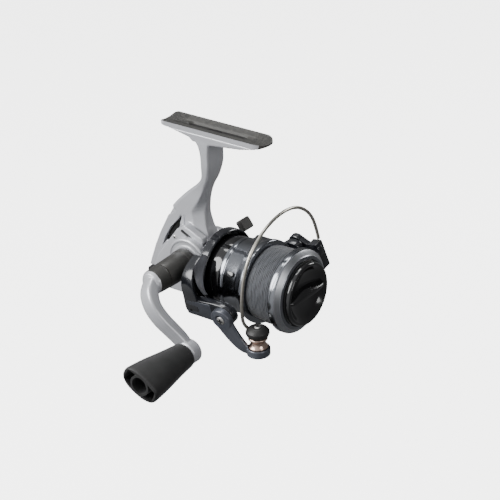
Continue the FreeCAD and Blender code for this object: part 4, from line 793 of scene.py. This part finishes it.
arms = joined(cup, hollow_wing(), soften(plate(FAR_WING, -5.2, 3.35, 2.2, normal="X"), 0.6),
              soften(plate(NEAR_ARM, -30.6, -26.2, 1.5), 0.8), soften(plate(FAR_ARM, 26.4, 30.6, 1.5), 0.8))
rotor = piece("rotor_cup_and_arms", arms, ROTOR, "rotor_body", ["rotor"])
coat_all(rotor, rotor_black_and_bail_shade)
rotor_back = ROTOR.inverted()


def on_painted_highlight(centre, normal):
    """Painted highlight: the front ring between the cup and the opening, and on along the arm's inner top edge, picked
    by where the faces are and which way they turn.
    """
    spot = rotor_back @ centre
    facing = rotor_back.to_3x3() @ normal
    ring = -2.4 < spot.x < 2.7 and facing.x > 0.4 and -23.4 < spot.y < -13 and -4 < spot.z < 18.6
    edge = 4.6 < spot.x < 17 and 0.25 < facing.z < 0.95 and facing.y > 0.15 and spot.y < -26 and spot.z > 3
    return (ring and math.hypot(spot.y, spot.z) > 21.05) or edge


# painted highlight: silver-grey on the faces that turn to the front and up along the rotor's edges
coat_some(rotor, rotor_painted_highlight, on_painted_highlight)

# %% [markdown]
# Each arm's outer face has a flush cover over the bail's spring. On the near arm it is a dark grey
# moulding with a small square hole in it; the hole is drawn as a thin black plate of painted shade.

# %% Arm covers
NEAR_COVER = [(-4.4, -5.4), (11.6, -5.4), (11.6, 4.7), (5.4, 3.9), (-4.2, 2.6)]
FAR_COVER = [(-3.8, -2.2), (11.8, -2.2), (11.8, -5.3), (7.3, -7.3), (-3.8, -12.4)]
covers = joined(soften(plate(NEAR_COVER, -30.85, -29.8, 1.2), 0.2), soften(plate(FAR_COVER, 29.8, 30.95, 1.2), 0.25))
coat_all(piece("arm_cover_mouldings", covers, ROTOR, "rotor_body", ["arm_covers"]), cover_grey)
# a thin black plate on the cover: painted shade where the hole is
dot = plate([(-2.6, -3.4), (-1.0, -3.4), (-1.0, -1.2), (-2.6, -1.2)], -30.88, -30.6, 0.3)
coat_all(piece("arm_cover_hole_shade", dot, ROTOR, "rotor_body"), black_inlay_and_hole_shade)

# %% [markdown]
# ## Bail
# The bail arm swings on the near rotor arm. It starts as a disc round the pivot screw, curves
# forward and down like a leaf, and ends in a round foot that holds the line roller. The leaf is
# bridged rings along a curve, melted with the disc and the foot.

# %% Bail arm
ROLLER = Vector((35.6, -28.5, -13.1))
UPRIGHT_IN_ROTOR = ROTOR.to_3x3().inverted() @ Vector((0, 0, 1))
roller_turn = Vector((1, 0, 0)).rotation_difference(UPRIGHT_IN_ROTOR).to_matrix().to_4x4()
ROLLER_PLACE = ROTOR @ Matrix.Translation(ROLLER) @ roller_turn
# each station: x, P (away from the axis), T (round the axis), half thickness in P, half width
LEAF = [
    (18.2, -32.65, 0.6, 1.6, 5.6),
    (20.5, -32.65, -2.6, 1.6, 5.6),
    (23.0, -32.65, -7.0, 1.6, 5.0),
    (26.0, -32.65, -11.4, 1.6, 4.3),
    (29.6, -32.4, -15.0, 1.7, 3.2),
    (33.5, -30.6, -16.7, 2.6, 2.0),
    (36.0, -29.0, -17.4, 3.0, 1.6),
]


def leaf_skin():
    rows = flowing(LEAF, 6)
    rings = []
    for index, (x, p, t, thick, wide) in enumerate(rows):
        before, after = rows[max(index - 1, 0)], rows[min(index + 1, len(rows) - 1)]
        way = Vector((after[0] - before[0], 0, after[2] - before[2])).normalized()
        rings.append((Vector((x, p, t)), Vector((0, thick, 0)), Vector((-way.z, 0, way.x)) * wide, 3.2))
    return lofted(rings)


pivot_disc = turned([(30.9, 2.3), (30.9, 5.7), (31.2, 6.0), (33.9, 6.0), (34.3, 5.5), (34.3, 3.0), (33.7, 2.9),
                     (33.7, 2.3)], closed=True, steps=64)
foot = turned([(-6.4, 0), (-6.4, 5.4), (-5.9, 5.9), (-2.6, 5.9), (-2.1, 5.5), (-2.1, 5.1), (-2.9, 5.0),
               (-2.9, 0)], steps=64)
near_axis = Matrix.Translation((PIVOT_AHEAD, 0, 0)) @ NEARWARD
foot_place = Matrix.Translation(ROLLER) @ roller_turn
bail = piece("bail_arm_casting", joined(leaf_skin(), moved(pivot_disc, near_axis), moved(foot, foot_place)), ROTOR,
             "bail", ["bail_arm"])
roller_room = moved(turned([(-2.9, 0), (-2.9, 5.2), (9, 6.6), (9, 0)], steps=48), METRES @ ROTOR @ foot_place)
screw_room = moved(turned([(33.7, 0), (33.7, 2.5), (36, 2.5), (36, 0)], steps=48), METRES @ ROTOR @ near_axis)
cast(bail, 0.26, 3)
carved(bail, [roller_room, screw_room])
coat_all(bail, grey_paint)
# the bail arm's faces that turn inward, toward the spool, get the rotor's black: painted shade
coat_some(bail, rotor_black_and_bail_shade, lambda centre, normal: (rotor_back.to_3x3() @ normal).y > 0.35)

# %% Bail screws
far_axis = Matrix.Translation((PIVOT_AHEAD, 0, 0)) @ OUTWARD
screw("bail_pivot_screws", [ROTOR @ axis @ Matrix.Translation((33.7, 0, 0)) for axis in (near_axis, far_axis)],
      2.25, 0.75, "bail", "bail_screws", 0.35)

# %% [markdown]
# ## Line roller
# Line turns the corner on a small polished roller with a waist. A matt black dome holds it, with a
# screw down its middle.

# %% Line roller, cap and screw
roller_profile = [(-2.6, 1.65), (3.6, 1.65), (3.6, 4.6), (3.3, 4.9), (2.6, 4.9), (1.6, 4.0), (0.6, 3.75), (-0.4, 3.95),
                  (-1.5, 4.9), (-2.3, 4.9), (-2.6, 4.6)]
coat_all(piece("line_roller_ring", soften(turned(roller_profile, closed=True), 0.1, 2, 30), ROLLER_PLACE, "roller",
               ["line_roller"]), bronze)
dome = [(3.9, 0), (3.9, 4.6), (4.6, 5.5), (5.6, 5.95), (6.9, 5.9), (8.0, 5.0), (8.9, 3.7), (9.2, 3.0), (9.2, 2.1),
        (8.8, 2.0), (8.8, 0)]
coat_all(piece("roller_dome", soften(turned(dome), 0.15, 2, 30), ROLLER_PLACE, "bail", ["roller_cap"]), matt_black)
screw("roller_dome_screw", [ROLLER_PLACE @ Matrix.Translation((8.75, 0, 0))], 1.75, 0.45, "bail", "roller_screw")

# %% [markdown]
# ## Bail wire and holder
# The wire leaves the roller's dome, bows over the front of the spool and enters a wedge on the far
# side. A smooth curve through listed points with a round section makes it.

# %% Bail wire
WIRE_REACH = 40.5
WIRE_RADIUS = 0.85
# each row: turn about the spool's axis, share of the reach, distance ahead of the pivot
WIRE = [(198, 0.688, 14.5), (195, 0.700, 11.6), (183, 0.742, 10.7), (169, 0.785, 12.4), (153, 0.83, 13.5),
        (136, 0.905, 14.3), (118, 0.985, 15.0), (98, 1.01, 15.3), (77, 1.015, 14.8), (56, 1.005, 13.5),
        (35, 0.975, 12.0), (18, 0.94, 11.0), (3, 0.915, 10.3)]


def wire_mesh():
    curve = bpy.data.curves.new("wire_line", "CURVE")
    curve.dimensions = "3D"
    curve.bevel_depth = WIRE_RADIUS * MM
    curve.bevel_resolution = 6
    curve.resolution_u = 10
    curve.use_fill_caps = True
    spline = curve.splines.new("NURBS")
    spline.points.add(len(WIRE) - 1)
    for point, (turn, share, ahead) in zip(spline.points, WIRE):
        angle = math.radians(turn)
        reach = WIRE_REACH * share
        spot = ROTOR @ Vector((PIVOT_AHEAD + ahead, reach * math.cos(angle), reach * math.sin(angle)))
        point.co = (*(spot * MM), 1)
    spline.order_u = 3
    spline.use_endpoint_u = True
    holder = bpy.data.objects.new("wire_line", curve)
    bpy.context.scene.collection.objects.link(holder)
    mesh = bpy.data.meshes.new_from_object(holder.evaluated_get(bpy.context.evaluated_depsgraph_get()))
    bpy.data.objects.remove(holder)
    bm = bmesh.new()
    bm.from_mesh(mesh)
    bpy.data.meshes.remove(mesh)
    bmesh.ops.remove_doubles(bm, verts=bm.verts, dist=0.00001)
    bmesh.ops.recalc_face_normals(bm, faces=bm.faces)
    return bm


coat_all(piece("bail_wire_bow", wire_mesh(), Matrix.Scale(1 / MM, 4), "bail", ["bail_wire"]), nickel)

# %% Bail holder
far_disc = turned([(30.9, 2.3), (30.9, 4.1), (31.2, 4.4), (33.9, 4.4), (34.3, 4.0), (34.3, 3.0), (33.7, 2.9),
                   (33.7, 2.3)], closed=True, steps=64)
HOLDER_RUN = [(17.6, -4.2), (29.4, -6.4), (34.2, -4.6), (34.0, 0.6), (27.4, 0.8), (21.0, 4.0)]
HOLDER_TIP = [(26.8, 1.4), (32.6, 2.6), (35.1, -12.7), (32.2, -11.6), (27.8, -6.0)]
holder = joined(moved(far_disc, far_axis), soften(plate(HOLDER_RUN, 30.9, 34.3, 1.2), 0.5),
                soften(plate(HOLDER_TIP, 30.95, 36.0, 0.8), 0.45))
coat_all(piece("bail_holder_casting", holder, ROTOR, "bail", ["bail_holder"]), rotor_black_and_bail_shade)

# %% [markdown]
# ## Spool
# One turned part: a skirt that covers the rotor's hub, a step, a rear flange, the arbor under the
# line, and a broad front lip. It is polished and anodised a dark gunmetal, so it mirrors the studio
# in bands; the front lip is left satin. Rounded steps come from a bevel on each sharp ring.

# %% Spool
spool_profile = [(6.85, 17.5), (6.85, 18.6), (9.2, 18.6), (9.2, 18.2), (10.0, 18.2), (10.0, 19.0), (17.1, 19.0),
                 (18.6, 19.5), (21.2, 21.1), (22.4, 21.5), (24.1, 21.5), (24.45, 21.2), (24.45, 13.5), (39.5, 13.5),
                 (39.5, 21.1), (39.9, 21.5), (42.6, 21.5), (43.4, 21.2), (44.0, 20.4), (44.9, 19.2), (45.1, 18.9),
                 (45.5, 18.7), (46.0, 17.7), (46.0, 17.0), (45.6, 16.9), (43.0, 16.9), (43.0, 12.3), (33.0, 12.3),
                 (33.0, 4.6), (19.2, 4.6), (19.2, 5.8), (31.4, 5.8), (31.4, 12.2), (23.15, 12.2), (23.15, 17.5)]
spool = piece("spool_turning", soften(turned(spool_profile, closed=True, steps=160), 0.14, 2, 22), BODY, "spool_body",
              ["spool"])
coat_all(spool, spool_mirror)
body_back = BODY.inverted()


def on_lip_front(centre, normal):
    spot = body_back @ centre
    return 43.3 < spot.x < 45.4 and math.hypot(spot.y, spot.z) > 18.6 and normal.x > 0.2


coat_some(spool, flange_satin, on_lip_front)
ring = turned([(-0.45, 17.4), (6.85, 17.4), (6.85, 18.4), (-0.45, 18.4)], closed=True, steps=128)
coat_all(piece("skirt_ring_moulding", soften(ring, 0.15, 2), BODY, "spool_body", ["skirt_ring"]), gloss_black)

# %% Wound line
line_profile = [(24.5, 13.5), (39.45, 13.5), (39.45, 18.6), (38.6, 19.15), (36.5, 19.4), (32, 19.45), (27.5, 19.35),
                (25.4, 19.1), (24.5, 18.6)]
wound = turned(line_profile, closed=True, steps=160)
coat_all(piece("wound_line", wound, BODY, "spool_body", ["spool_line"], angle=60), braided_line)

# %% Line clip
clip_outline = [(-2.0, -1.4), (2.0, -1.4), (2.0, 1.4), (-2.0, 1.4)]
clip = soften(plate(clip_outline, -0.2, 0.75, 1.1), 0.3)
clip_place = BODY @ Matrix.Rotation(math.radians(62), 4, "X") @ Matrix.Translation((14.15, 0, 19.0)) @ Matrix.Rotation(
    math.radians(90), 4, "X")
coat_all(piece("line_clip_button", clip, clip_place, "spool_body", ["line_clip"]), gloss_black)

# %% [markdown]
# ## Drag knob
# The knob closes the spool's front. Its rim is rounded, its face is dished, and a finger blade
# crosses it: a low wedge, widest in the middle. All of it is gloss black.

# %% Drag knob
knob_profile = [(43.4, 4.0), (43.4, 15.6), (46.6, 15.7), (46.6, 16.3), (48.0, 16.3), (48.9, 15.9), (49.2, 15.3),
                (48.9, 14.5), (46.9, 12.8), (46.0, 10.8), (45.6, 7.0), (45.6, 0), (44.4, 0), (44.4, 4.0)]
# each station: across, half width at the foot, half width at the ridge, front
BLADE = [(-13.9, 1.7, 0.6, 48.2), (-11.5, 2.3, 0.75, 49.4), (-6, 3.4, 0.9, 50.0), (0, 4.1, 1.0, 50.0),
         (6, 3.4, 0.9, 50.0), (11.5, 2.3, 0.75, 49.4), (13.9, 1.7, 0.6, 48.2)]


def blade_section(y, foot_half, ridge_half, front):
    return [(44.8, y, -foot_half), (front, y, -ridge_half), (front, y, ridge_half), (44.8, y, foot_half)]


blade = soften(skinned([blade_section(*row) for row in flowing(BLADE, 4)]), 0.3, 3, 35)
drag = joined(soften(turned(knob_profile, steps=128), 0.2, 2, 30), blade)
coat_all(piece("drag_knob_moulding", drag, BODY, "drag", ["drag_knob"]), gloss_black)

# %% [markdown]
# ## Parts inside
# Gears, bearings, shafts, clutch and washers keep the frame's shapes, which are already exact, and
# get the finish of what they are made of.

# %% Inner finishes
INNER = {
    steel: ["near_gear_bearing", "far_gear_bearing", "pinion_bearing", "spool_bearing", "clutch_ring", "clutch_rollers",
            "clutch_plate", "clutch_screws", "clutch_sleeve", "guide_rod", "main_shaft", "hinge_pin", "knob_post",
            "post_screw", "roller_post", "handle_bolt", "spool_seat", "washer_ring", "slider_screw"],
    gear_alloy: ["drive_gear", "swing_gear"],
    brass: ["pinion_gear", "rotor_nut", "drag_nut"],
    white_nylon: ["shaft_slider", "knob_bushes"],
    felt: ["drag_washers"],
    grip_rubber: ["knob_seal"],
}
for material, nodes in INNER.items():
    for node in nodes:
        coat_all(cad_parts[node], material)
print("inner parts:", sum(len(nodes) for nodes in INNER.values()))

# %% [markdown]
# ## Studio
# A pale bowl stands all round the reel and well below it, and only the camera sees it, so it takes no
# shadow and shows in no reflection. Four soft lamps light the reel, the strongest on the upper left,
# and the polished parts mirror a sky that glows on that side.

# %% Floor, lights and world
def stage_finish(name, code, glow):
    material, tree, shader, place = finish_of(name, Roughness=0.9)
    mottled(tree, shader, place, code, code, 400)
    tree.links.new(shader.inputs["Base Color"].links[0].from_socket, shader.inputs["Emission Color"])
    shader.inputs["Emission Strength"].default_value = glow
    return material


def staged(name, bm, material):
    """Put in place a studio surface that only the camera sees."""
    bmesh.ops.transform(bm, matrix=METRES, verts=bm.verts)
    mesh = bpy.data.meshes.new(name)
    bm.to_mesh(mesh)
    bm.free()
    mesh.shade_smooth()
    thing = bpy.data.objects.new(name, mesh)
    bpy.context.scene.collection.objects.link(thing)
    coat_all(thing, material)
    thing.visible_diffuse = False
    thing.visible_glossy = False
    thing.visible_shadow = False


bowl = turned([(-330, 0), (-330, 1800), (-300, 2300), (-150, 2700), (200, 2900), (2600, 2900)], steps=96)
bowl_upright = Matrix.Rotation(math.radians(-90), 4, "Y")
staged("studio_bowl", moved(bowl, bowl_upright), stage_finish("pale_paper_bowl", "#FBFBFA", 3.5))


def soft_light(name, spot, size, power, aim=(0.01, 0, -0.06)):
    data = bpy.data.lights.new(name, "AREA")
    data.shape = "DISK"
    data.size = size
    data.energy = power
    lamp = bpy.data.objects.new(name, data)
    lamp.location = spot
    lamp.rotation_euler = (Vector(spot) - Vector(aim)).to_track_quat("Z", "Y").to_euler()
    bpy.context.scene.collection.objects.link(lamp)
    return lamp


soft_light("key_light", (-0.50, -0.72, 0.50), 0.75, 15)
soft_light("top_light", (-0.30, 0.15, 0.95), 0.55, 6)
soft_light("fill_light", (1.05, -0.30, 0.30), 0.5, 3.2)
soft_light("rim_light", (0.2, 0.95, 0.35), 0.4, 4)

world = bpy.data.worlds.new("studio_air")
bpy.context.scene.world = world
world.use_nodes = True
air = world.node_tree
heading = add(air, "ShaderNodeTexCoord").outputs["Generated"]
toward = add(air, "ShaderNodeVectorMath", {0: heading, 1: (-0.46, -0.71, 0.54)}, operation="DOT_PRODUCT")
glow = add(air, "ShaderNodeMapRange", {"Value": toward.outputs["Value"], "From Min": -0.15, "From Max": 0.95,
                                       "To Min": 0.17, "To Max": 1.0}, interpolation_type="SMOOTHSTEP")
backdrop = air.nodes["Background"]
backdrop.inputs[0].default_value = light("#F0F1F3")
air.links.new(glow.outputs[0], backdrop.inputs[1])

# %% [markdown]
# ## Camera
# The camera stands a metre away with a long lens, forward of the near side and above it, and leans
# a little so that the seat slopes as it should. Its axes come from azimuth, height and roll.

# %% Camera
AZIMUTH, HEIGHT, ROLL = (math.radians(value) for value in (38.59, 27.22, -3.11))
TARGET = Vector((15.75, 0, -62.11)) * MM
back = Vector((math.sin(AZIMUTH) * math.cos(HEIGHT), -math.cos(AZIMUTH) * math.cos(HEIGHT), math.sin(HEIGHT)))
right = Vector((math.cos(AZIMUTH), math.sin(AZIMUTH), 0))
up = back.cross(right)
rolled_right = right * math.cos(ROLL) + up * math.sin(ROLL)
rolled_up = up * math.cos(ROLL) - right * math.sin(ROLL)
lens_data = bpy.data.cameras.new("studio_camera")
lens_data.sensor_width = 36
lens_data.lens = 145.62
camera = bpy.data.objects.new("studio_camera", lens_data)
camera.matrix_world = Matrix.Translation(TARGET + back) @ Matrix((rolled_right, rolled_up, back)).transposed().to_4x4()
bpy.context.scene.collection.objects.link(camera)
bpy.context.scene.camera = camera
